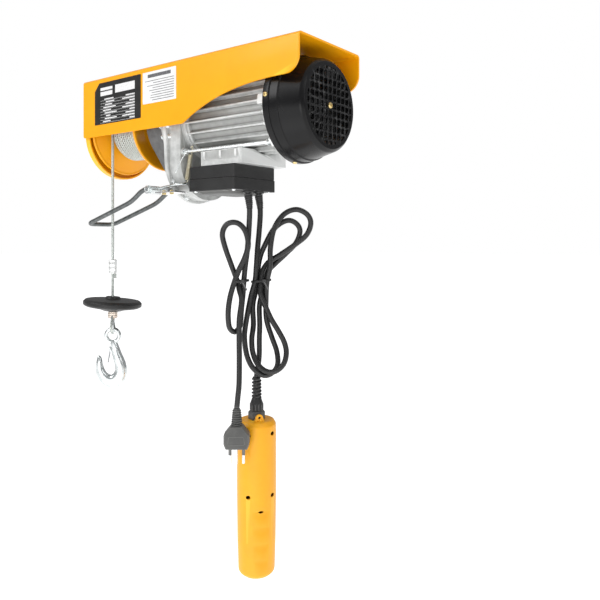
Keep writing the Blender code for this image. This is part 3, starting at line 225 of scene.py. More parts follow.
LOOK = {
    "yellow_paint": finish("yellow_paint", (0.960, 0.395, 0.001), (0.985, 0.420, 0.001), 0.34,
                           grain=25, spread=0.05, bump=0.05, fine=260, edge_highlight=(1.0, 0.55, 0.02),
                           highlight_band=(0.54, 0.62), coat=0.12, specular=0.35),
    "yellow_plastic": finish("yellow_plastic", (0.960, 0.420, 0.002), (1.0, 0.460, 0.003), 0.42,
                             grain=30, spread=0.06, bump=0.10, fine=1500, edge_highlight=(1.0, 0.56, 0.03),
                             highlight_band=(0.54, 0.66)),
    "cast_alloy": finish("cast_alloy", (0.50, 0.51, 0.50), (0.66, 0.67, 0.66), 0.46, 0.35, 90,
                         bump=0.35, fine=1400, edge_highlight=(0.85, 0.86, 0.85), crease_shade=(0.22, 0.22, 0.21)),
    "gloss_black": finish("gloss_black", (0.0035, 0.0035, 0.004), (0.006, 0.006, 0.0065), 0.26,
                          grain=35, spread=0.06, bump=0.06, fine=700, edge_highlight=(0.06, 0.06, 0.06),
                          highlight_band=(0.56, 0.68), specular=0.25),
    "black_plastic": finish("black_plastic", (0.008, 0.008, 0.008), (0.014, 0.014, 0.014), 0.46,
                            grain=50, bump=0.22, fine=1800, edge_highlight=(0.11, 0.11, 0.11),
                            highlight_band=(0.55, 0.68)),
    "grey_plastic": finish("grey_plastic", (0.075, 0.076, 0.073), (0.105, 0.105, 0.100), 0.52,
                           grain=60, bump=0.25, fine=1600, edge_highlight=(0.24, 0.24, 0.23)),
    "capacitor_can": finish("capacitor_can", (0.55, 0.56, 0.55), (0.66, 0.66, 0.64), 0.35, 0.4, 40,
                            stretch=(1, 12, 12)),
    "black_rubber": finish("black_rubber", (0.007, 0.007, 0.007), (0.013, 0.013, 0.013), 0.40,
                           grain=120, bump=0.18, fine=1500, edge_highlight=(0.06, 0.06, 0.06)),
    "galvanised_rope": rope_finish("galvanised_rope", (0.62, 0.66, 0.63), (0.80, 0.84, 0.80), 0.34),
    "zinc_steel": finish("zinc_steel", (0.58, 0.62, 0.62), (0.80, 0.83, 0.83), 0.26, 0.95, 110,
                         spread=0.12, bump=0.30, fine=650, edge_highlight=(0.95, 0.97, 0.97),
                         crease_shade=(0.16, 0.18, 0.18)),
    "dark_steel": finish("dark_steel", (0.10, 0.11, 0.11), (0.19, 0.20, 0.20), 0.40, 0.85, 160,
                         spread=0.12, bump=0.35, fine=800, edge_highlight=(0.50, 0.53, 0.53),
                         highlight_band=(0.54, 0.62)),
    "bright_steel": finish("bright_steel", (0.55, 0.56, 0.57), (0.68, 0.69, 0.70), 0.24, 1.0, 60,
                           stretch=(14, 1, 1), bump=0.15, edge_highlight=(0.9, 0.9, 0.9)),
    "laminated_core": finish("laminated_core", (0.26, 0.27, 0.28), (0.40, 0.41, 0.42), 0.42, 0.9,
                             700, stretch=(1, 0.02, 0.02), bump=0.4, fine=900),
    "wound_core": finish("wound_core", (0.42, 0.17, 0.07), (0.60, 0.27, 0.12), 0.38, 0.6, 240,
                         stretch=(0.1, 1, 1), bump=0.5, fine=500),
    "bearing_bronze": finish("bearing_bronze", (0.62, 0.44, 0.18), (0.75, 0.56, 0.25), 0.32, 1.0,
                             90, bump=0.2),
    "sleeve_alloy": finish("sleeve_alloy", (0.72, 0.73, 0.72), (0.84, 0.85, 0.84), 0.34, 0.85, 120,
                           bump=0.25, fine=700, crease_shade=(0.25, 0.25, 0.24)),
    "ferrule_copper": finish("ferrule_copper", (0.60, 0.50, 0.42), (0.78, 0.70, 0.62), 0.36, 0.85,
                             200, bump=0.3, fine=700, crease_shade=(0.22, 0.16, 0.12)),
    "brake_lining": finish("brake_lining", (0.05, 0.045, 0.04), (0.11, 0.10, 0.09), 0.8, 0.0, 400,
                           bump=0.6),
}
BRASS = finish("brass_screws", (0.62, 0.45, 0.17), (0.84, 0.70, 0.38), 0.28, 1.0, 150,
               crease_shade=(0.2, 0.12, 0.04))
SPRING = finish("passivated_wire", (0.60, 0.54, 0.38), (0.80, 0.76, 0.60), 0.32, 0.9, 300,
                crease_shade=(0.16, 0.13, 0.06))
PLATE_BLACK = finish("plate_black", (0.006, 0.006, 0.006), (0.012, 0.012, 0.012), 0.38, grain=80,
                     bump=0.05)
PLATE_WHITE = finish("plate_white", (0.78, 0.78, 0.78), (0.86, 0.86, 0.86), 0.40, grain=60,
                     bump=0.05)
PRINT_WHITE = finish("print_white", (0.70, 0.70, 0.70), (0.90, 0.90, 0.90), 0.45, grain=500)
PRINT_DARK = finish("print_dark", (0.05, 0.05, 0.055), (0.20, 0.20, 0.21), 0.45, grain=500)

for name, obj in NODES.items():
    obj.data.materials.clear()
    obj.data.materials.append(LOOK[SLOT[name]])


# ---------------------------------------------------------------- building blocks

AXES = {"X": Vector((1, 0, 0)), "Y": Vector((0, 1, 0)), "Z": Vector((0, 0, 1))}


def basis(axis):
    """The axis and two directions across it; for X these are Y and Z."""
    along = AXES[axis] if isinstance(axis, str) else Vector(axis).normalized()
    first = AXES["Y"] if abs(along.y) < 0.9 else AXES["X"]
    first = (first - along * first.dot(along)).normalized()
    return along, first, along.cross(first)


def tidy(bm, faces, mat):
    for face in faces:
        face.material_index = mat
    bmesh.ops.recalc_face_normals(bm, faces=faces)
    return faces


def rounded(points, steps=5, closed=True):
    """An outline whose points (a, b) are kept and whose points (a, b, radius) become arcs."""
    made = []
    for i, point in enumerate(points):
        here = Vector(point[:2])
        if len(point) < 3 or (not closed and i in (0, len(points) - 1)):
            made.append(here)
            continue
        back = Vector(points[i - 1][:2]) - here
        ahead = Vector(points[(i + 1) % len(points)][:2]) - here
        half = back.angle(ahead) / 2
        cut = min(point[2] / math.tan(half), 0.49 * back.length, 0.49 * ahead.length)
        radius = cut * math.tan(half)
        middle = here + (back.normalized() + ahead.normalized()).normalized() * (
            radius / math.sin(half))
        first = here + back.normalized() * cut - middle
        last = here + ahead.normalized() * cut - middle
        start = math.atan2(first.y, first.x)
        turn = (math.atan2(last.y, last.x) - start + math.pi) % (2 * math.pi) - math.pi
        for k in range(steps + 1):
            a = start + turn * k / steps
            made.append(middle + Vector((math.cos(a), math.sin(a))) * radius)
    return made


def arc(cx, cy, radius, start, stop, steps):
    made = []
    for i in range(steps + 1):
        a = math.radians(start + (stop - start) * i / steps)
        made.append((cx + radius * math.cos(a), cy + radius * math.sin(a)))
    return made


def bezier(p0, p1, p2, p3, steps):
    made = []
    for i in range(steps + 1):
        t, u = i / steps, 1 - i / steps
        made.append(tuple(u ** 3 * a + 3 * u * u * t * b + 3 * u * t * t * c + t ** 3 * d
                          for a, b, c, d in zip(p0, p1, p2, p3)))
    return made


def lathe(bm, rows, at, axis="X", steps=64, mat=0):
    """Turn a profile of (along, radius) rows about the axis through at. The profile closes on
    itself unless it starts and ends on the axis."""
    along, first, second = basis(axis)
    at = Vector(at)
    rings = []
    for h, r in rows:
        if r < 1e-7:
            rings.append([bm.verts.new(at + along * h)])
            continue
        rings.append([bm.verts.new(at + along * h
                                   + (first * math.cos(a) + second * math.sin(a)) * r)
                      for a in (2 * math.pi * k / steps for k in range(steps))])
    pairs = list(zip(rings, rings[1:]))
    if len(rings[0]) > 1 and len(rings[-1]) > 1:
        pairs.append((rings[-1], rings[0]))
    faces = []
    for a, b in pairs:
        for k in range(steps):
            j = (k + 1) % steps
            if len(a) == 1 and len(b) == 1:
                break
            if len(a) == 1:
                faces.append(bm.faces.new((a[0], b[j], b[k])))
            elif len(b) == 1:
                faces.append(bm.faces.new((a[k], a[j], b[0])))
            else:
                faces.append(bm.faces.new((a[k], a[j], b[j], b[k])))
    return tidy(bm, faces, mat)


def turned(bm, corners, at, axis="X", steps=64, mat=0, arc_steps=4):
    """A lathe whose corners may carry a fillet radius: (along, radius, fillet)."""
    open_ended = corners[0][1] < 1e-7
    rows = [(p.x, max(p.y, 0.0)) for p in rounded(corners, arc_steps, not open_ended)]
    return lathe(bm, rows, at, axis, steps, mat)


def rod(bm, start, end, radius, steps=32, chamfer=0.0, mat=0):
    start, end = Vector(start), Vector(end)
    length = (end - start).length
    c = chamfer or radius * 0.02
    rows = [(0, 0), (0, radius - c), (c, radius), (length - c, radius), (length, radius - c),
            (length, 0)]
    return lathe(bm, rows, start, end - start, steps, mat)


def slab(bm, outline, axis, low, high, mat=0):
    """A flat outline across the axis, given a thickness from low to high along it."""
    def lift(p, h):
        a, b = p[0], p[1]
        return {"X": (h, a, b), "Y": (a, h, b), "Z": (a, b, h)}[axis]
    bottom = [bm.verts.new(lift(p, low)) for p in outline]
    top = [bm.verts.new(lift(p, high)) for p in outline]
    faces = [bm.faces.new(bottom[::-1]), bm.faces.new(top)]
    for i in range(len(outline)):
        j = (i + 1) % len(outline)
        faces.append(bm.faces.new((bottom[i], bottom[j], top[j], top[i])))
    return tidy(bm, faces, mat)


def block(bm, low, high, mat=0, place=None, size=None):
    """A box from low to high, or of a size at a placing matrix."""
    if place is None:
        low, high = Vector(low), Vector(high)
        place, size = Matrix.Translation((low + high) / 2), high - low
    made = bmesh.ops.create_cube(bm, size=1.0, matrix=place @ Matrix.Diagonal((*size, 1.0)))
    faces = list({f for v in made["verts"] for f in v.link_faces})
    return tidy(bm, faces, mat)


def loft(bm, stations, mat=0, closed=False):
    """Skin rings of equal length, capped unless the row of rings closes on itself."""
    rings = [[bm.verts.new(p) for p in station] for station in stations]
    faces = []
    pairs = list(zip(rings, rings[1:])) + ([(rings[-1], rings[0])] if closed else [])
    for a, b in pairs:
        for i in range(len(a)):
            j = (i + 1) % len(a)
            faces.append(bm.faces.new((a[i], a[j], b[j], b[i])))
    if not closed:
        faces += [bm.faces.new(rings[0][::-1]), bm.faces.new(rings[-1])]
    return tidy(bm, faces, mat)


def circle(radius, count=16):
    return [(radius * math.cos(2 * math.pi * k / count), radius * math.sin(2 * math.pi * k / count))
            for k in range(count)]


def strands(radius, count=6, each=4):
    """The section of a rope: count round strands about the middle."""
    made, small = [], radius / 3
    reach = radius - small
    for i in range(count * each):
        a = ((i % each + 0.5) / each - 0.5) * 2 * math.pi / count
        r = reach * math.cos(a) + math.sqrt(max(0.0, small ** 2 - (reach * math.sin(a)) ** 2))
        b = 2 * math.pi * i / (count * each)
        made.append((r * math.cos(b), r * math.sin(b)))
    return made


def sweep(bm, path, section, up=(0, 0, 1), twist=0.0, closed=False, taper=None, mat=0, lay=0.0):
    """Carry a section along a path. twist is in radians a metre, taper scales it by the share of
    the way along, and lay, the pitch of the wires, asks for a UV map that runs with the strands."""
    path = [Vector(p) for p in path]
    count = len(path)
    heads = []
    for i in range(count):
        if closed:
            ahead = path[(i + 1) % count] - path[i - 1]
        else:
            ahead = path[min(i + 1, count - 1)] - path[max(i - 1, 0)]
        heads.append(ahead.normalized())
    side = Vector(up) - heads[0] * Vector(up).dot(heads[0])
    side.normalize()
    run, stations, places = 0.0, [], []
    for i, (point, head) in enumerate(zip(path, heads)):
        if i:
            side = (heads[i - 1].rotation_difference(head) @ side)
            side = (side - head * side.dot(head)).normalized()
            run += (point - path[i - 1]).length
        other = head.cross(side)
        scale = taper(i / (count - 1)) if taper else 1.0
        c, s = math.cos(twist * run), math.sin(twist * run)
        stations.append([point + side * (a * c - b * s) * scale + other * (a * s + b * c) * scale
                         for a, b in section])
        places.append(run)
    first = len(bm.faces)
    faces = loft(bm, stations, mat, closed)
    if lay:
        layer = bm.loops.layers.uv.get("lay") or bm.loops.layers.uv.new("lay")
        bm.faces.index_update()
        size = len(section)
        for k, face in enumerate(faces[:(count - 1) * size]):
            i, j = divmod(k, size)
            for loop in face.loops:
                near = min(range(2), key=lambda q: (loop.vert.co - stations[i + q][j]).length
                           if (loop.vert.co - stations[i + q][j]).length
                           < (loop.vert.co - stations[i + q][(j + 1) % size]).length
                           else (loop.vert.co - stations[i + q][(j + 1) % size]).length)
                here = i + near
                edge = j if ((loop.vert.co - stations[here][j]).length
                             < (loop.vert.co - stations[here][(j + 1) % size]).length) else j + 1
                loop[layer].uv = (places[here] / lay, edge / size * 6)
    return faces


def smooth_path(points, step):
    """Catmull-Rom through points, read off about every step metres."""
    pts = [Vector(p) for p in points]
    pts = [2 * pts[0] - pts[1]] + pts + [2 * pts[-1] - pts[-2]]
    dense = []
    for i in range(1, len(pts) - 2):
        a, b, c, d = pts[i - 1:i + 3]
        for k in range(24):
            t = k / 24
            dense.append(0.5 * ((2 * b) + (c - a) * t + (2 * a - 5 * b + 4 * c - d) * t * t
                                + (3 * b - a - 3 * c + d) * t ** 3))
    dense.append(pts[-2])
    run = [0.0]
    for a, b in zip(dense, dense[1:]):
        run.append(run[-1] + (b - a).length)
    count = max(2, round(run[-1] / step))
    made, k = [], 0
    for i in range(count + 1):
        goal = run[-1] * i / count
        while k < len(run) - 2 and run[k + 1] < goal:
            k += 1
        part = (goal - run[k]) / max(run[k + 1] - run[k], 1e-12)
        made.append(dense[k].lerp(dense[k + 1], min(1.0, part)))
    return made


def hexagon(bm, at, axis, flats, height, mat=0, washer=0.0):
    """A hexagon head with a chamfered top, on a washer if one is asked for."""
    along, first, second = basis(axis)
    at = Vector(at)
    if washer:
        rod(bm, at, at + along * 0.0009, washer, 28, 0.0002, mat)
        at = at + along * 0.0008
    corner = flats / math.sqrt(3)
    rings = []
    for h, r in ((0, corner), (height * 0.82, corner), (height, corner * 0.84)):
        rings.append([at + along * h + (first * math.cos(a) + second * math.sin(a)) * r
                      for a in (math.pi / 3 * k + 0.2 for k in range(6))])
    return loft(bm, rings, mat)


def pan_head(bm, at, axis, radius, height, mat=0):
    """A domed screw head with a round recess."""
    rows = [(0, 0), (0, radius), (height * 0.45, radius * 0.97), (height * 0.80, radius * 0.80),
            (height, radius * 0.48), (height, radius * 0.36), (height * 0.45, radius * 0.24),
            (height * 0.45, 0)]
    return lathe(bm, rows, at, axis, 24, mat)


def as_object(name, bm, looks, smooth=34):
    mesh = bpy.data.meshes.new(name)
    bm.to_mesh(mesh)
    bm.free()
    mesh.shade_smooth()
    mesh.set_sharp_from_angle(angle=math.radians(smooth))
    obj = bpy.data.objects.new(name, mesh)
    bpy.context.scene.collection.objects.link(obj)
    for look in looks:
        mesh.materials.append(look)
    return obj


def carve(bm, other, operation="DIFFERENCE"):
    """An exact boolean of two closed bodies; both are used up and the result is returned."""
    a, b = as_object("carve_a", bm, []), as_object("carve_b", other, [])
    mod = a.modifiers.new("cut", "BOOLEAN")
    mod.operation, mod.solver, mod.object = operation, "EXACT", b
    graph = bpy.context.evaluated_depsgraph_get()
    graph.update()
    mesh = bpy.data.meshes.new_from_object(a.evaluated_get(graph))
    made = bmesh.new()
    made.from_mesh(mesh)
    for obj in (a, b):
        bpy.data.objects.remove(obj, do_unlink=True)
    bmesh.ops.remove_doubles(made, verts=made.verts, dist=0.000004)
    bmesh.ops.dissolve_degenerate(made, edges=made.edges, dist=0.000004)
    return made


def started(fill, *args, **words):
    bm = bmesh.new()
    fill(bm, *args, **words)
    return bm


def piece(name, bm, stands_for, looks=None, body=None, bevel=0.0, segments=2, smooth=34, angle=32):
    """Finish a visible piece: edges, material, body and the CAD node that it stands for."""
    lead = stands_for if isinstance(stands_for, str) else stands_for[0] if stands_for else None
    looks = looks or [LOOK[SLOT[lead]]]
    obj = as_object(name, bm, looks, smooth)
    if bevel:
        mod = obj.modifiers.new("edges", "BEVEL")
        mod.width, mod.segments = bevel, segments
        mod.limit_method, mod.angle_limit = "ANGLE", math.radians(angle)
        mod.harden_normals = True
    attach(obj, body or BODY[lead])
    if stands_for:
        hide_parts(*([stands_for] if isinstance(stands_for, str) else stands_for))
    return obj


def extra(name, bm, body, slot=None, looks=None, **words):
    """A small visible piece that stands for no CAD node."""
    obj = piece(name, bm, (), looks or [LOOK[slot]], body, **words)
    return obj


def soften(node_name, width=0.0006):
    """Break the sharp edges of a CAD node that is shown as it is."""
    obj = NODES[node_name]
    mod = obj.modifiers.new("edges", "BEVEL")
    mod.width, mod.segments = width, 2
    mod.limit_method, mod.angle_limit = "ANGLE", math.radians(40)


# ---------------------------------------------------------------- camera, light and floor

def studio():
    scene = bpy.context.scene
    data = bpy.data.cameras.new("camera")
    data.lens, data.sensor_width = 38.96, 36.0
    data.shift_x, data.shift_y = 0.0161, -0.1014
    camera = bpy.data.objects.new("camera", data)
    camera.location = (0.6966, -0.7132, -0.2580)
    camera.rotation_euler = (math.pi / 2, 0, FACING)
    scene.collection.objects.link(camera)
    scene.camera = camera

    world = bpy.data.worlds.new("studio")
    scene.world = world
    world.use_nodes = True
    tree = world.node_tree
    tree.nodes.clear()
    out = node(tree, "ShaderNodeOutputWorld")
    place = node(tree, "ShaderNodeTexCoord").outputs["Generated"]
    split = node(tree, "ShaderNodeSeparateXYZ")
    link(tree, place, split.inputs["Vector"])
    height = node(tree, "ShaderNodeMapRange")
    height.inputs["From Min"].default_value = -1.0
    link(tree, split.outputs["Z"], height.inputs["Value"])
    sky = ramp(tree, height.outputs["Result"], (
        (0.00, (0.62, 0.62, 0.61)), (0.40, (0.50, 0.50, 0.50)), (0.50, (0.34, 0.34, 0.345)),
        (0.62, (0.60, 0.60, 0.61)), (1.00, (1.0, 1.0, 1.0))))
    light = node(tree, "ShaderNodeBackground", Strength=0.62)
    link(tree, sky, light.inputs["Color"])
    plain = node(tree, "ShaderNodeBackground", Color=(1, 1, 1, 1), Strength=1.0)
    seen = node(tree, "ShaderNodeLightPath")
    both = node(tree, "ShaderNodeMixShader")
    link(tree, seen.outputs["Is Camera Ray"], both.inputs[0])
    link(tree, light.outputs[0], both.inputs[1])
    link(tree, plain.outputs[0], both.inputs[2])
    link(tree, both.outputs[0], out.inputs["Surface"])

    def lamp(name, at, size, energy, target=(0, 0, -0.2)):
        data = bpy.data.lights.new(name, "AREA")
        data.shape, data.size, data.size_y, data.energy = "RECTANGLE", size[0], size[1], energy
        made = bpy.data.objects.new(name, data)
        made.location = at
        made.rotation_euler = (Vector(target) - Vector(at)).to_track_quat("-Z", "Y").to_euler()
        scene.collection.objects.link(made)

    lamp("key", (-0.9, -2.0, 1.3), (1.2, 1.2), 21)
    lamp("side", (2.3, -0.5, 0.9), (0.5, 1.6), 8)
    lamp("front", (0.9, -2.2, -0.5), (1.6, 0.9), 8)
    lamp("under", (0.5, -1.2, -1.5), (2.0, 1.4), 4)
    bm = bmesh.new()
    slab(bm, [(-60, -60), (60, -60), (60, 60), (-60, 60)], "Z", -1.77, -1.75)
    pale = finish("floor_white", (0.93, 0.93, 0.93), (0.95, 0.95, 0.95), 0.9, grain=3, bump=0.02)
    glow = pale.node_tree.nodes["Principled BSDF"]
    glow.inputs["Emission Color"].default_value = (1, 1, 1, 1)
    glow.inputs["Emission Strength"].default_value = 0.75
    floor = as_object("floor", bm, [pale])
    scene.view_settings.view_transform = "Standard"


# ---------------------------------------------------------------- cords

def hank(exit_at, s, z, out):
    """A point by a hank: s across, z up from the cord's exit, out away from the front."""
    c, n = math.cos(FACING), math.sin(FACING)
    return Vector(exit_at) + Vector((s * c - out * n, s * n + out * c, z))


# Routes as (across, height, out) in millimetres from each cord's exit, as the CAD cords lie.
MAINS_ROUTE = [
    (0, 8, 0), (0, 0, 0), (2, -20.5, 1), (1, -48, 4), (-1.5, -80, 6), (-4.5, -103, 6.5),
    (-6.5, -123.5, 7), (-8, -145.5, 6.5), (-10, -165.5, 5), (-11, -181.5, 3), (-12.8, -191, 1.2),
    (-19.3, -196.8, -2), (-25.8, -190.8, -5), (-27.7, -178.5, -7), (-27.5, -163, -7),
    (-25, -146, -6),
    (-20, -128, -5), (-13.5, -110, -4.5), (-4.5, -91, -5), (0.5, -72.5, -6), (-3, -54.5, -5),
    (-11.5, -43.5, -4), (-22, -40.5, -2), (-32, -45, 0), (-37, -58, 2), (-33, -77, 4),
    (-26, -97.5, 6), (-19.5, -115, 6), (-15, -126.5, 3.5), (-12.5, -137.5, -0.5),
    (-9, -151.5, -4.5), (-12, -178.5, -7.5), (-12, -206, -10), (-11.5, -236.5, -14),
    (-11.5, -266.5, -18), (-13, -284.5, -20), (-14.5, -300, -20.5)]
PENDANT_ROUTE = [
    (0, 8, 0), (0, 0, 0), (2.5, -24, 0), (1, -52, -1), (-1.5, -80, -3), (-3, -103.5, -5),
    (-5, -125.5, -4.5), (-11.5, -150.5, -5), (-19, -193, -8), (-19.5, -212, -10),
    (-15.5, -234, -11), (-6.5, -250.5, -12.5), (8.5, -260, -13), (21, -256, -12), (28, -245, -9),
    (26.5, -227, -3), (19, -206, 0), (11.5, -180.5, 0), (11, -149.5, -1), (12.5, -125.5, -4.5),
    (17, -103.5, -7), (17.5, -77, -7), (23, -49, -6), (37, -28.5, -4), (54.5, -21.5, -3),
    (70, -28, -2), (76, -41, -1), (70, -58, 0), (53, -72.5, 1), (32.5, -86.5, 2), (14.5, -98, 2),
    (6, -111, -1), (3.5, -125.5, -4.5), (3, -143, -8), (10.5, -161.5, -9.5), (19, -180, -10),
    (29.5, -197, -12), (38, -213.5, -14), (40.5, -228.5, -17), (36, -243.5, -20),
    (23.5, -253, -21.5), (10.5, -252.5, -18.5), (-1, -243, -14), (-8, -227, -9),
    (-9.5, -208.5, -6), (-7.5, -189, -1), (-8.5, -161.5, 2), (-5, -142.5, 4), (-1.5, -123, 4.5),
    (-0.5, -104, 6.5), (3, -87.5, 7), (10, -71.5, 5), (20.5, -52, 4), (32.5, -41, 5), (45, -37, 6),
    (56, -42.5, 8), (60.5, -53.5, 9), (54.5, -70, 10), (39.5, -86, 11), (23.5, -101, 11),
    (12, -113, 8), (8, -126, 5), (4.5, -145.5, 5), (1, -163, 5), (1.5, -189.5, 4), (1, -210.5, 2.5),
    (1, -232, 1), (-0.5, -248.5, 0.5), (-2.8, -263.5, 0), (-2.8, -292, 0), (-2.8, -322.5, 0)]


def lead(name, exit_at, route, stands_for):
    """A round cord as one open spline."""
    points = smooth_path([hank(exit_at, *(v / 1000 for v in stop)) for stop in route], 0.0030)
    curve = bpy.data.curves.new(name, "CURVE")
    curve.dimensions = "3D"
    curve.bevel_depth, curve.bevel_resolution, curve.use_fill_caps = CORD_R, 6, True
    line = curve.splines.new("POLY")
    line.points.add(len(points) - 1)
    for slot, point in zip(line.points, points):
        slot.co = (*point, 1.0)
    line.use_smooth = True
    obj = bpy.data.objects.new(name, curve)
    bpy.context.scene.collection.objects.link(obj)
    curve.materials.append(LOOK["black_rubber"])
    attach(obj, "frame")
    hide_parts(stands_for)
    return obj


def plug():
    """Moulded plug: ribbed relief, flat hexagonal body, two sleeved pins and a bare earth pin."""
    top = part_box("mains_plug")[1].z
    at = Vector((0.0871, -0.0376, 0.0))

    def spot(s, z, out):
        return hank(at, s, z, out)

    bm = bmesh.new()
    rows = [(0, 0.0, 0), (0, 0.0052, 0.0006)]
    ribs = 7
    for i in range(ribs):
        z, r = -0.0018 - 0.0031 * i, 0.0062 + 0.0003 * i
        rows += [(z, 0.0047 + 0.0002 * i, 0.0004), (z - 0.0004, r, 0.0005), (z - 0.0017, r, 0.0005),
                 (z - 0.0021, 0.0047 + 0.0002 * i, 0.0004)]
    rows += [(-0.0232, 0.0066), (-0.0260, 0.0088, 0.001), (-0.0300, 0.0092, 0.001), (-0.0300, 0)]
    turned(bm, rows, spot(0, top, 0), "Z", 40)
    outline = [(-0.0080, -0.0232, 0.0020), (0.0080, -0.0232, 0.0020), (0.0178, -0.0352, 0.0030),
               (0.0178, -0.0478, 0.0030), (0.0150, -0.0550, 0.0018), (-0.0150, -0.0550, 0.0018),
               (-0.0178, -0.0478, 0.0030), (-0.0178, -0.0352, 0.0030)]
    flat = rounded(outline, 5)
    middle = sum(p.y for p in flat) / len(flat)
    rings = []
    for out, inset in ((-0.0110, 0.0030), (-0.0104, 0.0012), (-0.0085, 0.0), (0.0085, 0.0),
                       (0.0104, 0.0012), (0.0110, 0.0030)):
        k = 1 - inset / 0.0178
        rings.append([spot(p.x * k, top + middle + (p.y - middle) * k, out) for p in flat])
    loft(bm, rings)
    # Sunk grip panel outline on each broad face
    for face in (-1, 1):
        ring = rounded([(-0.0105, -0.0370, 0.002), (0.0105, -0.0370, 0.002),
                        (0.0115, -0.0480, 0.002), (-0.0115, -0.0480, 0.002)], 4)
        sweep(bm, [spot(p.x, top + p.y, face * 0.0109) for p in ring], circle(0.0005, 8),
              up=spot(0, 0, 1) - spot(0, 0, 0), closed=True)
    for s, out, bare in ((-0.0095, 0.0, False), (0.0095, 0.0, False), (-0.0006, -0.0030, True)):
        if not bare:
            turned(bm, [(0, 0), (0, 0.0022), (-0.0105, 0.0022, 0.0002), (-0.0105, 0)],
                   spot(s, top - 0.0545, out), "Z", 24, 0)
        r = 0.0022 if bare else 0.00205
        start = top - (0.0545 if bare else 0.0640)
        end = top - 0.0770 - start
        turned(bm, [(0, 0), (0, r), (end + 0.0004, r, 0.0012), (end, 0.0008, 0.0006), (end, 0)],
               spot(s, start, out), "Z", 24, 1)
    return piece("mains_plug_moulded", bm, "mains_plug", [LOOK["grey_plastic"], LOOK["zinc_steel"]])


def cable_tie(name, exit_at, s, z, out, half_s, half_out):
    """A thin nylon tie round a hank, with its head and a short tail."""
    width, thick = 0.0030, 0.0012
    section = rounded([(-width / 2, -thick / 2, 0.0003), (width / 2, -thick / 2, 0.0003),
                       (width / 2, thick / 2, 0.0003), (-width / 2, thick / 2, 0.0003)], 2)
    ring = rounded([(-half_s, -half_out, half_out * 0.95), (half_s, -half_out, half_out * 0.95),
                    (half_s, half_out, half_out * 0.95), (-half_s, half_out, half_out * 0.95)], 10)
    bm = bmesh.new()
    sweep(bm, [hank(exit_at, s + p.x, z + p.x * 0.10, out + p.y) for p in ring],
          [(p.x, p.y) for p in section], up=(0, 0, 1), closed=True)
    head = hank(exit_at, s + half_s * 0.35, z + half_s * 0.035, out - half_out - 0.0016)
    turn = Matrix.Rotation(FACING, 4, "Z")
    block(bm, None, None, place=Matrix.Translation(head) @ turn, size=(0.0052, 0.0036, 0.0046))
    tail = [hank(exit_at, s + half_s * 0.35 + d * 0.5, z - 0.001 - d * 0.9,
                 out - half_out - 0.0030 - d * 0.2) for d in (0, 0.003, 0.007, 0.012)]
    sweep(bm, smooth_path(tail, 0.002), [(p.x * 0.8, p.y * 0.8) for p in section], up=(1, 0, 0))
    return extra(name, bm, "frame", "black_plastic", bevel=0.0003)


def strain_relief(name, exit_at, route):
    """A tapered boot that leads a cord out of the control box, under a collar."""
    path = smooth_path([hank(exit_at, *(v / 1000 for v in stop)) for stop in route[1:4]], 0.0008)
    path = [p for p in path if (p - path[0]).length < 0.0215]
    bm = bmesh.new()
    section = circle(1.0, 28)

    def profile(t):
        groove = 0.0 if (t * 7) % 1.0 < 0.62 else 0.0005
        return 0.0062 - 0.0017 * t - groove

    sweep(bm, path, section, up=(1, 0, 0), taper=profile)
    turned(bm, [(0.0002, 0), (0.0002, 0.0084, 0.0006), (-0.0030, 0.0078, 0.0010), (-0.0034, 0)],
           Vector((exit_at.x, exit_at.y, BOX_LOW.z)), "Z", 40)
    return extra(name, bm, "frame", "black_rubber")


def cords():
    mains = lead("mains_lead", MAINS_EXIT, MAINS_ROUTE, "mains_cord")
    moulded = plug()
    pendant = lead("pendant_lead", PENDANT_EXIT, PENDANT_ROUTE, "pendant_cord")
    strain_relief("mains_relief_boot", MAINS_EXIT, MAINS_ROUTE)
    strain_relief("pendant_relief_boot", PENDANT_EXIT, PENDANT_ROUTE)
    cable_tie("mains_hank_tie", MAINS_EXIT, -0.0110, -0.1245, 0.0015, 0.0118, 0.0118)
    cable_tie("pendant_hank_tie", PENDANT_EXIT, 0.0037, -0.1250, 0.0002, 0.0142, 0.0108)


# ---------------------------------------------------------------- frame, end plate and plates

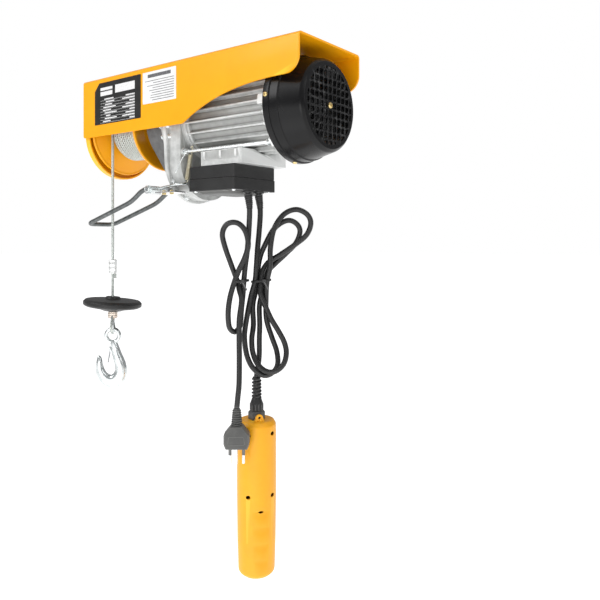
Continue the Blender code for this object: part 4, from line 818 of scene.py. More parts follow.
def frame_pieces():
    """Bent sheet channel, its end plate and two plain data plates."""
    w, t, bend = HALF_W, SHEET, 0.005
    low = -DEEP - 0.002
    section = ([(-w, low)] + arc(-w + bend, -bend, bend, 180, 90, 10)
               + arc(w - bend, -bend, bend, 90, 0, 10) + [(w, low), (w - t, low)]
               + arc(w - bend, -bend, bend - t, 0, 90, 8)
               + arc(-w + bend, -bend, bend - t, 90, 180, 8) + [(-w + t, low)])
    h, c = HALF_L, 0.022
    side = ([(-h, 0.005), (-h, -DEEP + 0.004)]
            + arc(-h + 0.004, -DEEP + 0.004, 0.004, 180, 270, 6)[1:]
            + bezier((0.012, -DEEP), (0.065, -0.062), (0.120, -SHALLOW - 0.0003),
                     (h - c, -SHALLOW), 40)
            + arc(h - c, -SHALLOW + c, c, -90, 0, 18)[1:] + [(h, 0.005)])
    bm = carve(started(slab, section, "X", -h, h), started(slab, side, "Y", -0.09, 0.09),
               "INTERSECT")
    holes = bmesh.new()
    for x in (-0.110, 0.110):
        for y in (-0.040, 0.040):
            rod(holes, (x, y, -0.01), (x, y, 0.01), 0.0055, 40)
    piece("frame_channel_bent", carve(bm, holes), "frame_channel", bevel=0.0006, segments=3)
    soften("drum_end_plate", 0.0007)

    front = -w
    x0, x1, z0, z1 = -0.1888, -0.0765, -0.0750, -0.0090
    bm = bmesh.new()
    plate = rounded([(x0, z0, 0.001), (x1, z0, 0.001), (x1, z1, 0.001), (x0 + 0.0115, z1, 0.001),
                     (x0, z1 - 0.0122, 0.001)], 3)
    slab(bm, plate, "Y", front - 0.0005, front - 0.00002)

    def bar(left, right, low, high, mat=1):
        block(bm, (left, front - 0.00065, low), (right, front - 0.0004, high), mat)

    # Blank header panels, then rows of plain bars over thin rules
    bar(-0.1370, -0.0900, -0.0290, -0.0165)
    bar(-0.1740, -0.1440, -0.0215, -0.0170)
    bar(-0.1740, -0.1440, -0.0300, -0.0235)
    rows, pitch = 9, 0.0044
    for i in range(rows):
        z = -0.0350 - pitch * i
        bar(-0.0900 - 0.021 - 0.010 * math.sin(i * 2.1), -0.0900, z - 0.0018, z)
        bar(-0.1640 + 0.004 * math.sin(i * 1.3), -0.1410 + 0.008 * math.sin(i * 2.9), z - 0.0018, z)
        bar(-0.1740, -0.0900, z - 0.0030, z - 0.0027)
    extra("data_plate", bm, "frame", looks=[PLATE_BLACK, PRINT_WHITE])

    x0, x1, z0, z1 = -0.0716, 0.0009, -0.0560, -0.0090
    bm = bmesh.new()
    plate = rounded([(x0, z0, 0.001), (x1, z0, 0.001), (x1, z1, 0.001), (x0, z1, 0.001)], 3)
    slab(bm, plate, "Y", front - 0.0004, front - 0.00002)

    def dark(left, right, low, high):
        block(bm, (left, front - 0.00055, low), (right, front - 0.0003, high), 1)

    dark(-0.0600, -0.0100, -0.0180, -0.0130)
    for i in range(9):
        z = -0.0225 - 0.0036 * i
        dark(-0.0660 + 0.018 * abs(math.sin(i * 1.7)), -0.0035, z - 0.0008, z)
    extra("rating_plate", bm, "frame", looks=[PLATE_WHITE, PRINT_DARK])


# ---------------------------------------------------------------- drum and rope

def drum_pieces():
    at = (DRUM_MID, 0, AXIS_Z)
    out, hub = DRUM_HIGH.x - DRUM_MID, 0.0367
    outer = [(out - 0.0044, RIM_R, 0.0012), (out, RIM_R, 0.0012), (out, 0.0638, 0.0030),
             (hub + 0.0040, 0.0370, 0.0060), (hub + 0.0030, 0.0083), (hub, 0.0083), (hub, 0.0290)]
    inner = [(hub, 0.0325, 0.0015), (hub + 0.0008, 0.0370, 0.0060), (out - 0.0044, 0.0625, 0.0040)]
    right = [(h, *rest) for h, *rest in inner + outer]
    left = [(-h, *rest) for h, *rest in inner + outer]
    bm = bmesh.new()
    turned(bm, right + left[::-1], at, "X", 128, arc_steps=6)
    piece("rope_drum_pressed", bm, "rope_drum")

    # Rope on the drum: a filled core, then turns laid side by side that end at the hanging rope.
    bm = bmesh.new()
    low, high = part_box("rope_winding")
    core = 0.0400
    lathe(bm, [(low.x + 0.0005, 0.0328), (low.x + 0.0005, core - 0.003),
               (high.x - 0.0005, core - 0.003),
               (high.x - 0.0005, 0.0328)], (0, 0, AXIS_Z), "X", 64)
    pitch = 0.0047
    section = strands(ROPE_R, 6, 3)
    twist = 2 * math.pi / 0.030
    layers = ((core - ROPE_R, low.x + ROPE_R, ROPE.x - 0.0002, 0.0),
              (core + ROPE_R * 0.75, high.x - ROPE_R, ROPE.x, math.pi))
    for radius, start, stop, last in layers:
        turns = max(1, round(abs(stop - start) / pitch))
        steps = 84
        path = []
        for i in range(turns * steps + 1):
            part = i / (turns * steps)
            a = last - 2 * math.pi * (turns - i / steps) * (1 if stop < start else -1)
            wobble = 0.0006 * math.sin(a * 0.37 + 1.0) + 0.0003 * math.sin(a * 2.3)
            lift = 0.00035 * math.sin(a * 0.53)
            x = start + (stop - start) * part + wobble * (1 - part)
            r = radius + lift * (1 - part)
            path.append((x, r * math.cos(a), AXIS_Z + r * math.sin(a)))
        sweep(bm, path, section, up=(1, 0, 0), twist=twist, lay=0.0012)
    piece("rope_turns", bm, "rope_winding")

    # Hanging fall of rope between the drum and the bottom block.
    bm = bmesh.new()
    top, low_end = AXIS_Z, FERRULE_HIGH.z - 0.004
    steps = 190
    path = [(ROPE.x, ROPE.y, top + (low_end - top) * i / steps) for i in range(steps + 1)]
    sweep(bm, path, strands(ROPE_R, 6, 5), up=(1, 0, 0), twist=twist, lay=0.0012)
    rope = as_object("rope_fall", bm, [LOOK["galvanised_rope"]])
    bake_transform(rope)
    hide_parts("hanging_rope")


def hook_frame(s, z, out=0.0):
    """A point in the hook's plane: s across, z up, out along the plane's normal."""
    c, n = math.cos(FACING), math.sin(FACING)
    return Vector((ROPE.x + s * c - out * n, ROPE.y + s * n + out * c, z))


def oval(half, radius, steps=14):
    """A stadium outline, half its straight length to each side."""
    return ([(half + x, y) for x, y in arc(0, 0, radius, -90, 90, steps)]
            + [(-half + x, y) for x, y in arc(0, 0, radius, 90, 270, steps)])


def block_pieces():
    """Crimped sleeve, limiter disc, ferrule and the rope loop on its thimble."""
    def crimp(name, node_name, half, radius, low, high, dents):
        bm = bmesh.new()
        rings = []
        steps = 26
        for i in range(steps + 1):
            t = i / steps
            z = low + (high - low) * t
            edge = min(1.0, min(t, 1 - t) * steps / 2.0)
            pull = 1 - 0.16 * (1 - edge) ** 2
            squeeze = 1 - dents * (0.5 - 0.5 * math.cos(2 * math.pi * t * 3))
            rings.append([hook_frame(a * pull, z, b * pull * squeeze)
                          for a, b in oval(half, radius)])
        loft(bm, rings)
        return piece(name, bm, node_name, smooth=40)

    crimp("crimp_sleeve_pressed", "rope_crimp_sleeve", 0.0026, 0.0041, SLEEVE_LOW.z, SLEEVE_HIGH.z,
          0.10)
    crimp("ferrule_pressed", "rope_ferrule", 0.0036, 0.0042, FERRULE_LOW.z, FERRULE_HIGH.z, 0.08)
    # Cut-off tail of the rope beside the standing part, above the disc
    bm = bmesh.new()
    sweep(bm, [hook_frame(0.0043, SLEEVE_LOW.z + 0.002 - 0.0045 * k) for k in range(3)],
          strands(ROPE_R * 0.92, 6, 5), up=(1, 0, 0), twist=2 * math.pi / 0.03, lay=0.0012)
    extra("rope_tail_stub", bm, "bottom_block", "galvanised_rope")

    # Limiter disc with rounded rims, a hub above and a domed underside
    tilt = math.radians(4.5)
    across = Vector((math.cos(FACING), math.sin(FACING), 0))
    normal = Vector((-math.sin(FACING), math.cos(FACING), 0))
    axis = Matrix.Rotation(tilt, 3, normal) @ AXES["Z"]
    middle = -0.3620
    r = 0.0467
    rows = [(0.0100, 0.0040), (0.0100, 0.0108, 0.0010), (0.0060, 0.0128, 0.0020),
            (0.0045, r - 0.0035, 0.0030), (0.0010, r, 0.0030), (-0.0046, r, 0.0030),
            (-0.0072, r - 0.0050, 0.0030), (-0.0108, 0.0220, 0.0080), (-0.0135, 0.0140, 0.0020),
            (-0.0135, 0.0040)]
    bm = bmesh.new()
    turned(bm, rows, (ROPE.x, ROPE.y, middle), axis, 112, arc_steps=6)
    piece("limiter_disc_moulded", bm, "limiter_disc")

    # Rope loop lying in a pressed thimble
    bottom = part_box("rope_thimble")[0].z
    rod_r = 0.0021
    loop_r = 0.0095
    middle_z = bottom + 0.0032 + loop_r
    drop = [hook_frame(0, FERRULE_LOW.z + 0.0030, 0.0030)]
    for a in range(20, -201, -10):
        drop.append(hook_frame(0, middle_z + loop_r * math.sin(math.radians(a)),
                               loop_r * math.cos(math.radians(a))))
    drop.append(hook_frame(0, FERRULE_LOW.z + 0.0030, -0.0030))
    bm = bmesh.new()
    sweep(bm, smooth_path(drop, 0.0012), strands(rod_r, 6, 4), up=across, twist=2 * math.pi / 0.028,
          mat=1, lay=0.0012)
    inner = [hook_frame(0, FERRULE_LOW.z - 0.0012, 0.0012)]
    for a in range(30, -211, -8):
        inner.append(hook_frame(0, middle_z + (loop_r - 0.0012) * math.sin(math.radians(a)),
                                (loop_r - 0.0012) * math.cos(math.radians(a))))
    inner.append(hook_frame(0, FERRULE_LOW.z - 0.0012, -0.0012))
    # Channel section that cups the rope on its inner side
    cup = [(-0.0031, 0.0019), (-0.0026, 0.0026), (-0.0017, 0.0003), (0, -0.0009), (0.0017, 0.0003),
           (0.0026, 0.0026), (0.0031, 0.0019), (0.0022, -0.0007), (0, -0.0019), (-0.0022, -0.0007)]
    sweep(bm, smooth_path(inner, 0.0010), cup, up=across, mat=0)
    piece("rope_loop_on_thimble", bm, "rope_thimble", [LOOK["zinc_steel"], LOOK["galvanised_rope"]])


def hook_pieces():
    """Forged eye hook with a sheet latch on a riveted pin."""
    rows = [(0.8, -8.6, 4.3, 4.0), (1.4, -11.8, 5.2, 4.7), (2.6, -15.5, 6.2, 5.3),
            (4.6, -22.0, 6.8, 5.9),
            (7.4, -31.5, 7.6, 6.5), (10.6, -40.5, 8.4, 7.0), (13.2, -49.5, 9.2, 7.3),
            (13.6, -58.5, 9.9, 7.5), (10.6, -67.2, 10.8, 7.5), (4.4, -73.4, 11.2, 7.4),
            (-3.6, -74.8, 10.6, 7.1), (-11.4, -71.2, 9.5, 6.6), (-17.4, -64.2, 8.1, 6.1),
            (-20.8, -55.6, 6.9, 5.6), (-21.8, -47.0, 5.8, 5.0), (-21.8, -40.5, 4.6, 4.3),
            (-22.2, -36.0, 3.3, 3.2), (-22.5, -33.6, 1.9, 1.9), (-22.6, -32.6, 0.6, 0.6)]
    pts = [Vector((s, z, w)) for s, z, w, t in rows]
    thick = [Vector((t, 0, 0)) for s, z, w, t in rows]

    def through(values, u):
        i = min(int(u), len(values) - 2)
        t = u - i
        a, b = values[max(i - 1, 0)], values[i]
        c, d = values[i + 1], values[min(i + 2, len(values) - 1)]
        return 0.5 * ((2 * b) + (c - a) * t + (2 * a - 5 * b + 4 * c - d) * t * t
                      + (3 * b - a - 3 * c + d) * t ** 3)

    fine = 5
    spots = [i / fine for i in range((len(rows) - 1) * fine + 1)]
    stations = []
    for u in spots:
        p, q = through(pts, u), through(thick, u)
        ahead = through(pts, min(u + 0.05, len(rows) - 1.0001)) - through(pts, max(u - 0.05, 0))
        across = Vector((-ahead.y, ahead.x)).normalized()
        ring = []
        for k in range(32):
            a = 2 * math.pi * k / 32
            wide = math.copysign(abs(math.cos(a)) ** 0.85, math.cos(a)) * p.z
            deep = math.copysign(abs(math.sin(a)) ** 0.80, math.sin(a)) * q.x
            # The forging is thinner towards the inside of the bowl
            deep *= 1.0 - 0.16 * max(0.0, math.cos(a)) if u > 3 else 1.0
            s, z = p.x + across.x * wide, p.y + across.y * wide
            ring.append(hook_frame(s / 1000, EYE_Z + z / 1000, deep / 1000))
        stations.append(ring)
    bm = started(loft, stations)
    eye = bmesh.new()
    rings = []
    for i in range(64):
        a = 2 * math.pi * i / 64
        ring = []
        for k in range(20):
            b = 2 * math.pi * k / 20
            r = 0.0106 + 0.0034 * math.cos(b)
            ring.append(hook_frame(r * math.cos(a), EYE_Z + r * math.sin(a), 0.0038 * math.sin(b)))
        rings.append(ring)
    loft(eye, rings, closed=True)
    bm = carve(bm, eye, "UNION")
    normal = hook_frame(0, 0, 1) - hook_frame(0, 0, 0)
    pin_s, pin_z = -0.0064, EYE_Z - 0.0223
    lug = bmesh.new()
    turned(lug, [(-0.0025, 0), (-0.0025, 0.0042, 0.0005), (0.0025, 0.0042, 0.0005), (0.0025, 0)],
           hook_frame(pin_s + 0.0022, pin_z - 0.0002), normal, 40)
    bm = carve(bm, lug, "UNION")
    turned(bm, [(-0.0052, 0), (-0.0052, 0.0021, 0.0004), (-0.0043, 0.0021, 0.0003),
                (-0.0043, 0.0013), (0.0043, 0.0013), (0.0043, 0.0021, 0.0003),
                (0.0052, 0.0021, 0.0004), (0.0052, 0)], hook_frame(pin_s, pin_z), normal, 32)
    # Raised forging ticks round the bottom of the bowl
    for i in range(5):
        a = math.radians(-112 + 12 * i)
        mid = hook_frame(0.0006 + 0.0195 * math.cos(a),
                         EYE_Z - 0.0560 + 0.0195 * math.sin(a), -0.0072)
        turn = Matrix.Rotation(FACING, 4, "Z") @ Matrix.Rotation(-a - math.pi / 2 + 0.3, 4, "Y")
        block(bm, None, None, place=Matrix.Translation(mid) @ turn, size=(0.0009, 0.0006, 0.0034))
    hook = piece("hook_forged", bm, "hook", smooth=40)
    mod = hook.modifiers.new("soft", "SMOOTH")
    mod.factor, mod.iterations = 0.35, 3

    tip = hook_frame(-0.0105, EYE_Z - 0.0455)
    pivot = hook_frame(pin_s, pin_z)
    down = tip - pivot
    length = down.length
    down.normalize()
    side = normal.cross(down).normalized()
    place = Matrix.Translation(pivot) @ Matrix((side, normal, down)).transposed().to_4x4()
    outline = [(-0.0030, 0.0042, 0.0012), (0.0030, 0.0042, 0.0004), (0.0030, -0.0042, 0.0004),
               (-0.0030, -0.0042, 0.0012), (-0.0030, -0.0032, 0.0002), (0.0019, -0.0032, 0.0004),
               (0.0019, 0.0032, 0.0004), (-0.0030, 0.0032, 0.0002)]
    ring = rounded(outline, 4)
    rings = []
    steps = 16
    for i in range(steps + 1):
        t = i / steps
        z = -0.0034 + (length + 0.0034) * t
        narrow = 1.0 - 0.28 * max(0.0, t - 0.45)
        rings.append([place @ Vector((p.x, p.y * narrow, z)) for p in ring])
    bm = started(loft, rings)
    cut = bmesh.new()
    block(cut, None, None, place=place @ Matrix.Translation((0.0026, 0, 0.0005)),
          size=(0.0060, 0.0064, 0.0092))
    piece("hook_latch_folded", carve(bm, cut), "hook_latch", bevel=0.0002)


# ---------------------------------------------------------------- gearbox and motor

def hull(r1, r2, steps=40):
    """Outline round the drum axis circle and the layshaft circle below it."""
    lean = math.degrees(math.asin((r1 - r2) / (AXIS_Z - LAY_Z)))
    return (arc(0, AXIS_Z, r1, -lean, 180 + lean, steps)
            + arc(0, LAY_Z, r2, 180 + lean, 360 - lean, steps))


def on_hull(r1, r2, angle, low):
    """A point on the hull: about the drum axis, or about the layshaft if low."""
    a = math.radians(angle)
    r, z = (r2, LAY_Z) if low else (r1, AXIS_Z)
    return r * math.cos(a), z + r * math.sin(a)


def gearbox_pieces():
    bm = started(slab, hull(0.0575, 0.0215), "X", -0.0812, -0.0400)
    bm = carve(bm, started(slab, hull(0.0645, 0.0505), "X", -0.0412, -0.0353), "UNION")
    neck = bmesh.new()
    turned(neck, [(-0.0900, 0), (-0.0900, 0.0495, 0.0030), (-0.0800, 0.0495), (-0.0800, 0)],
           (0, 0, AXIS_Z), "X", 96)
    bm = carve(bm, neck, "UNION")
    bore = started(rod, (-0.0950, 0, AXIS_Z), (-0.0700, 0, AXIS_Z), 0.0151, 48)
    bm = carve(bm, started(slab, hull(0.0548, 0.0180), "X", -0.0770, -0.0300))
    bm = carve(bm, bore)
    # Painted shadow: the neck and the housing left of the flange take a dark copy of the cast
    # alloy.
    for face in bm.faces:
        face.material_index = 1 if face.calc_center_median().x < -0.0415 else 0
    piece("gearbox_housing_cast", bm, "gearbox_housing",
          [LOOK["cast_alloy"], finish("cast_shadowed", (0.10, 0.10, 0.10), (0.16, 0.16, 0.16),
                                      0.5, 0.3,
                                      90, bump=0.35, fine=1400)], bevel=0.0012, segments=3)

    bm = started(slab, hull(0.0645, 0.0615), "X", -0.0350, -0.0290)
    bm = carve(bm, started(slab, hull(0.0585, 0.0575), "X", -0.0300, -0.0050), "UNION")
    adapter = bmesh.new()
    turned(adapter, [(-0.0207, 0), (-0.0207, 0.0545), (-0.0075, 0.0545), (-0.0075, 0.0572, 0.0008),
                     (-0.0035, 0.0572, 0.0008), (-0.0035, 0)], (0, 0, AXIS_Z), "X", 96)
    bm = carve(bm, adapter, "UNION")
    hanger = started(block, (-0.0342, -0.0300, AXIS_Z + 0.0565), (-0.0150, 0.0300, -SHEET - 0.0003))
    bm = carve(bm, hanger, "UNION")
    for y, z in TIES:
        boss = bmesh.new()
        turned(boss, [(-0.0313, 0), (-0.0313, 0.0072, 0.0010), (-0.0033, 0.0068, 0.0012),
                      (-0.0033, 0)], (0, y, AXIS_Z + z), "X", 36)
        bm = carve(bm, boss, "UNION")
    # Stiffening webs down the lower bulge
    for y in (-0.0350, 0.0350):
        web = [(-0.0285, AXIS_Z - 0.052), (-0.0040, AXIS_Z - 0.046), (-0.0040, LAY_Z - 0.030),
               (-0.0285, LAY_Z - 0.045)]
        bm = carve(bm, started(slab, web, "Y", y - 0.0013, y + 0.0013), "UNION")
    bm = carve(bm, started(slab, hull(0.0545, 0.0535), "X", -0.0400, -0.0135))
    bm = carve(bm, started(rod, (-0.0400, 0, AXIS_Z), (0.0050, 0, AXIS_Z), 0.0166, 48))
    piece("gearbox_cover_cast", bm, "gearbox_cover", bevel=0.0011, segments=3)

    bm = bmesh.new()
    spots = [(angle, False) for angle in (-8, 38, 90, 142, 188, 203)]
    spots += [(angle, True) for angle in (212, 247, 293, 328)]
    for angle, low in spots:
        y, z = on_hull(0.0613, 0.0580, angle, low)
        hexagon(bm, (-0.0290, y, z), "X", 0.0065, 0.0030, washer=0.0046)
        y, z = on_hull(0.0613, 0.0470, angle, low)
        hexagon(bm, (-0.0412, y, z), (-1, 0, 0), 0.0065, 0.0032, washer=0.0046)
    for angle in (235, 262, 289, 316):
        y, z = on_hull(0, 0.0470, angle, True)
        pan_head(bm, (-0.0050, y, z), "X", 0.0024, 0.0016)
    extra("gearbox_bolts", bm, "frame", "zinc_steel")


def motor_pieces():
    at = (0, 0, AXIS_Z)
    outline = []
    foot, tip, root = 2.1, 1.25, 0.0500
    for i in range(FINS):
        mid = 360 * (i + 0.5) / FINS
        for radius, turn, fillet in ((root, -foot, 0.0022), (0.0565, -tip, 0.0006),
                                     (0.0565, tip, 0.0006), (root, foot, 0.0022)):
            a = math.radians(mid + turn)
            outline.append((radius * math.cos(a), AXIS_Z + radius * math.sin(a), fillet))
        a = math.radians(mid + 180 / FINS)
        outline.append((root * math.cos(a), AXIS_Z + root * math.sin(a)))
    x0, x1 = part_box("motor_housing")[0].x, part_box("motor_housing")[1].x
    skirt = x1 - 0.0120
    bm = started(slab, rounded(outline, 4), "X", x0, skirt)
    rim = bmesh.new()
    turned(rim, [(x0, 0), (x0, 0.0572, 0.0008), (0.0030, 0.0572, 0.0008), (0.0032, 0.0548, 0.0006),
                 (0.0072, 0.0548, 0.0008), (0.0072, 0)], at, "X", 110)
    bm = carve(bm, rim, "UNION")
    ring = bmesh.new()
    turned(ring, [(skirt - 0.0020, 0), (skirt - 0.0020, 0.0508), (x1 - 0.0062, 0.0508),
                  (x1 - 0.0060, 0.0520, 0.0003), (x1 - 0.0048, 0.0520, 0.0003),
                  (x1 - 0.0046, 0.0508),
                  (x1, 0.0508), (x1, 0)], at, "X", 110)
    bm = carve(bm, ring, "UNION")
    bm = carve(bm, started(rod, (x0 - 0.01, 0, AXIS_Z), (x1 + 0.01, 0, AXIS_Z), 0.0460, 64))
    # Short stout ribs that carry on each fin over the skirt, and one cast pad on the front
    for i in range(FINS):
        a = 2 * math.pi * (i + 0.5) / FINS
        turn = Matrix.Rotation(a, 4, "X")
        mid = Matrix.Translation(((skirt + 0.0012 + x1) / 2, 0, AXIS_Z)) @ turn
        block(bm, None, None, place=mid @ Matrix.Translation((0, 0.0535, 0)),
              size=(x1 - skirt - 0.0012, 0.0068, 0.0034))
    turn = Matrix.Rotation(math.radians(171), 4, "X")
    mid = Matrix.Translation((0.1490, 0, AXIS_Z)) @ turn @ Matrix.Translation((0, 0.0540, 0))
    block(bm, None, None, place=mid, size=(0.0160, 0.0076, 0.0135))
    piece("motor_housing_cast", bm, "motor_housing", bevel=0.0005, segments=2, angle=45)

    low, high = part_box("motor_plinth")
    bm = started(block, low, high)
    bm = carve(bm, started(rod, (low.x - 0.01, 0, AXIS_Z), (high.x + 0.01, 0, AXIS_Z), 0.0568, 96))
    # Cast ribs on the plinth's front
    for x in (0.0391, 0.0700, 0.0985):
        rib = bmesh.new()
        outline = rounded([(x - 0.0022, low.z + 0.0085, 0.0021),
                           (x + 0.0022, low.z + 0.0085, 0.0021),
                           (x + 0.0022, high.z - 0.0010, 0.0006),
                           (x - 0.0022, high.z - 0.0010, 0.0006)], 5)
        slab(rib, outline, "Y", low.y - 0.0020, low.y + 0.0030)
        bm = carve(bm, rib, "UNION")
    piece("motor_plinth_cast", bm, "motor_plinth", bevel=0.0009, segments=3)

    # Nuts and washers at both ends of the four tie rods
    bm = bmesh.new()
    for y, z in TIES:
        p = Vector((0, y, AXIS_Z + z))
        hexagon(bm, p + Vector((-0.0031, 0, 0)), "X", 0.0076, 0.0034, washer=0.0055)
        hexagon(bm, p + Vector((0.1555, 0, 0)), (-1, 0, 0), 0.0076, 0.0030, washer=0.0050)
    extra("tie_rod_nuts", bm, "frame", "zinc_steel")

    # Hood over the fan
    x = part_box("fan_cover")[0].x
    r, t = 0.0735, 0.0022
    rows = [(x, r, 0.0006), (x + 0.0092, r, 0.0010), (x + 0.0096, r - 0.0020, 0.0006),
            (x + 0.0215, r - 0.0030, 0.0010), (x + 0.0222, r - 0.0047, 0.0008),
            (x + 0.0520, r - 0.0118, 0.0060), (x + 0.0559, r - 0.0160, 0.0016), (x + 0.0559, 0)]
    rows += [(x + 0.0559 - t, 0), (x + 0.0559 - t, r - 0.0172, 0.0010),
             (x + 0.0500, r - 0.0142, 0.0040), (x, r - 0.0026)]
    bm = bmesh.new()
    points = [(p.x, max(p.y, 0.0)) for p in rounded(rows, 5)]
    start = next(i for i, p in enumerate(points) if p[1] < 1e-9 and points[i - 1][1] < 1e-9)
    lathe(bm, points[start:] + points[:start], at, "X", 144)
    pitch, hole = 0.0102, 0.0077
    grid = bmesh.new()
    for i in range(-5, 6):
        for j in range(-5, 6):
            y, z = i * pitch, j * pitch
            if 0 < math.hypot(y, z) and math.hypot(abs(y) - hole / 2, abs(z) - hole / 2) < 0.0485:
                block(grid, (x + 0.0480, y - hole / 2, AXIS_Z + z - hole / 2),
                      (x + 0.0620, y + hole / 2, AXIS_Z + z + hole / 2))
    grid = carve(grid, started(rod, (x + 0.0400, 0, AXIS_Z), (x + 0.0700, 0, AXIS_Z), 0.0518, 96),
                 "INTERSECT")
    bm = carve(bm, grid)
    piece("fan_hood_moulded", bm, "fan_cover", bevel=0.0003, angle=50)
    bm = bmesh.new()
    pan_head(bm, (x + 0.0558, 0, AXIS_Z), "X", 0.0042, 0.0024)
    for angle in (173, 262, 8, 95):
        a = math.radians(angle)
        out = Vector((0, math.cos(a), math.sin(a)))
        pan_head(bm, Vector((x + 0.0050, 0, AXIS_Z)) + out * (r - 0.0004), out, 0.0034, 0.0022)
    extra("fan_hood_screws", bm, "frame", looks=[BRASS])


# ---------------------------------------------------------------- control box and limit gear

def control_box_pieces():
    low, high, split = BOX_LOW, BOX_HIGH, BOX_SPLIT
    r = 0.0028
    halves = (("control_box_case", "control_box", split + 0.0003, high.z, 0.0),
              ("control_box_lower_case", "control_box_lid", low.z, split, 0.0006))
    for name, node_name, z0, z1, grow in halves:
        outline = rounded([(low.x - grow, low.y - grow, r), (high.x + grow, low.y - grow, r),
                           (high.x + grow, high.y + grow, r), (low.x - grow, high.y + grow, r)], 7)
        bm = started(slab, outline, "Z", z0, z1)
        inside = rounded([(low.x + 0.0025, low.y + 0.0025, r), (high.x - 0.0025, low.y + 0.0025, r),
                          (high.x - 0.0025, high.y - 0.0025, r),
                          (low.x + 0.0025, high.y - 0.0025, r)], 5)
        if grow:
            bm = carve(bm, started(slab, inside, "Z", z0 + 0.0025, z1 + 0.01))
        else:
            bm = carve(bm, started(slab, inside, "Z", z0 - 0.01, z1 - 0.0025))
        piece(name, bm, node_name, bevel=0.0007, segments=3)
    # Slightly domed plate under the box, and the case's corner screws
    plate_low, plate_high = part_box("control_box_base_plate")
    steps = 5
    bm = bmesh.new()
    rings = []
    for i in range(steps + 1):
        t = i / steps
        inset = 0.0085 * (1 - math.cos(t * math.pi / 2))
        z = plate_high.z + 0.0002 - (plate_high.z - plate_low.z) * math.sin(t * math.pi / 2)
        rings.append([(p.x, p.y, z) for p in rounded([
            (plate_low.x + inset, plate_low.y + inset, 0.008),
            (plate_high.x - inset, plate_low.y + inset, 0.008),
            (plate_high.x - inset, plate_high.y - inset, 0.008),
            (plate_low.x + inset, plate_high.y - inset, 0.008)], 7)])
    loft(bm, rings)
    piece("control_box_base_dome", bm, "control_box_base_plate", smooth=50)
    bm = bmesh.new()
    for x in (low.x + 0.007, high.x - 0.007):
        for y in (low.y + 0.007, high.y - 0.007):
            pan_head(bm, (x, y, low.z), (0, 0, -1), 0.0028, 0.0018)
    extra("control_box_screws", bm, "frame", "zinc_steel")


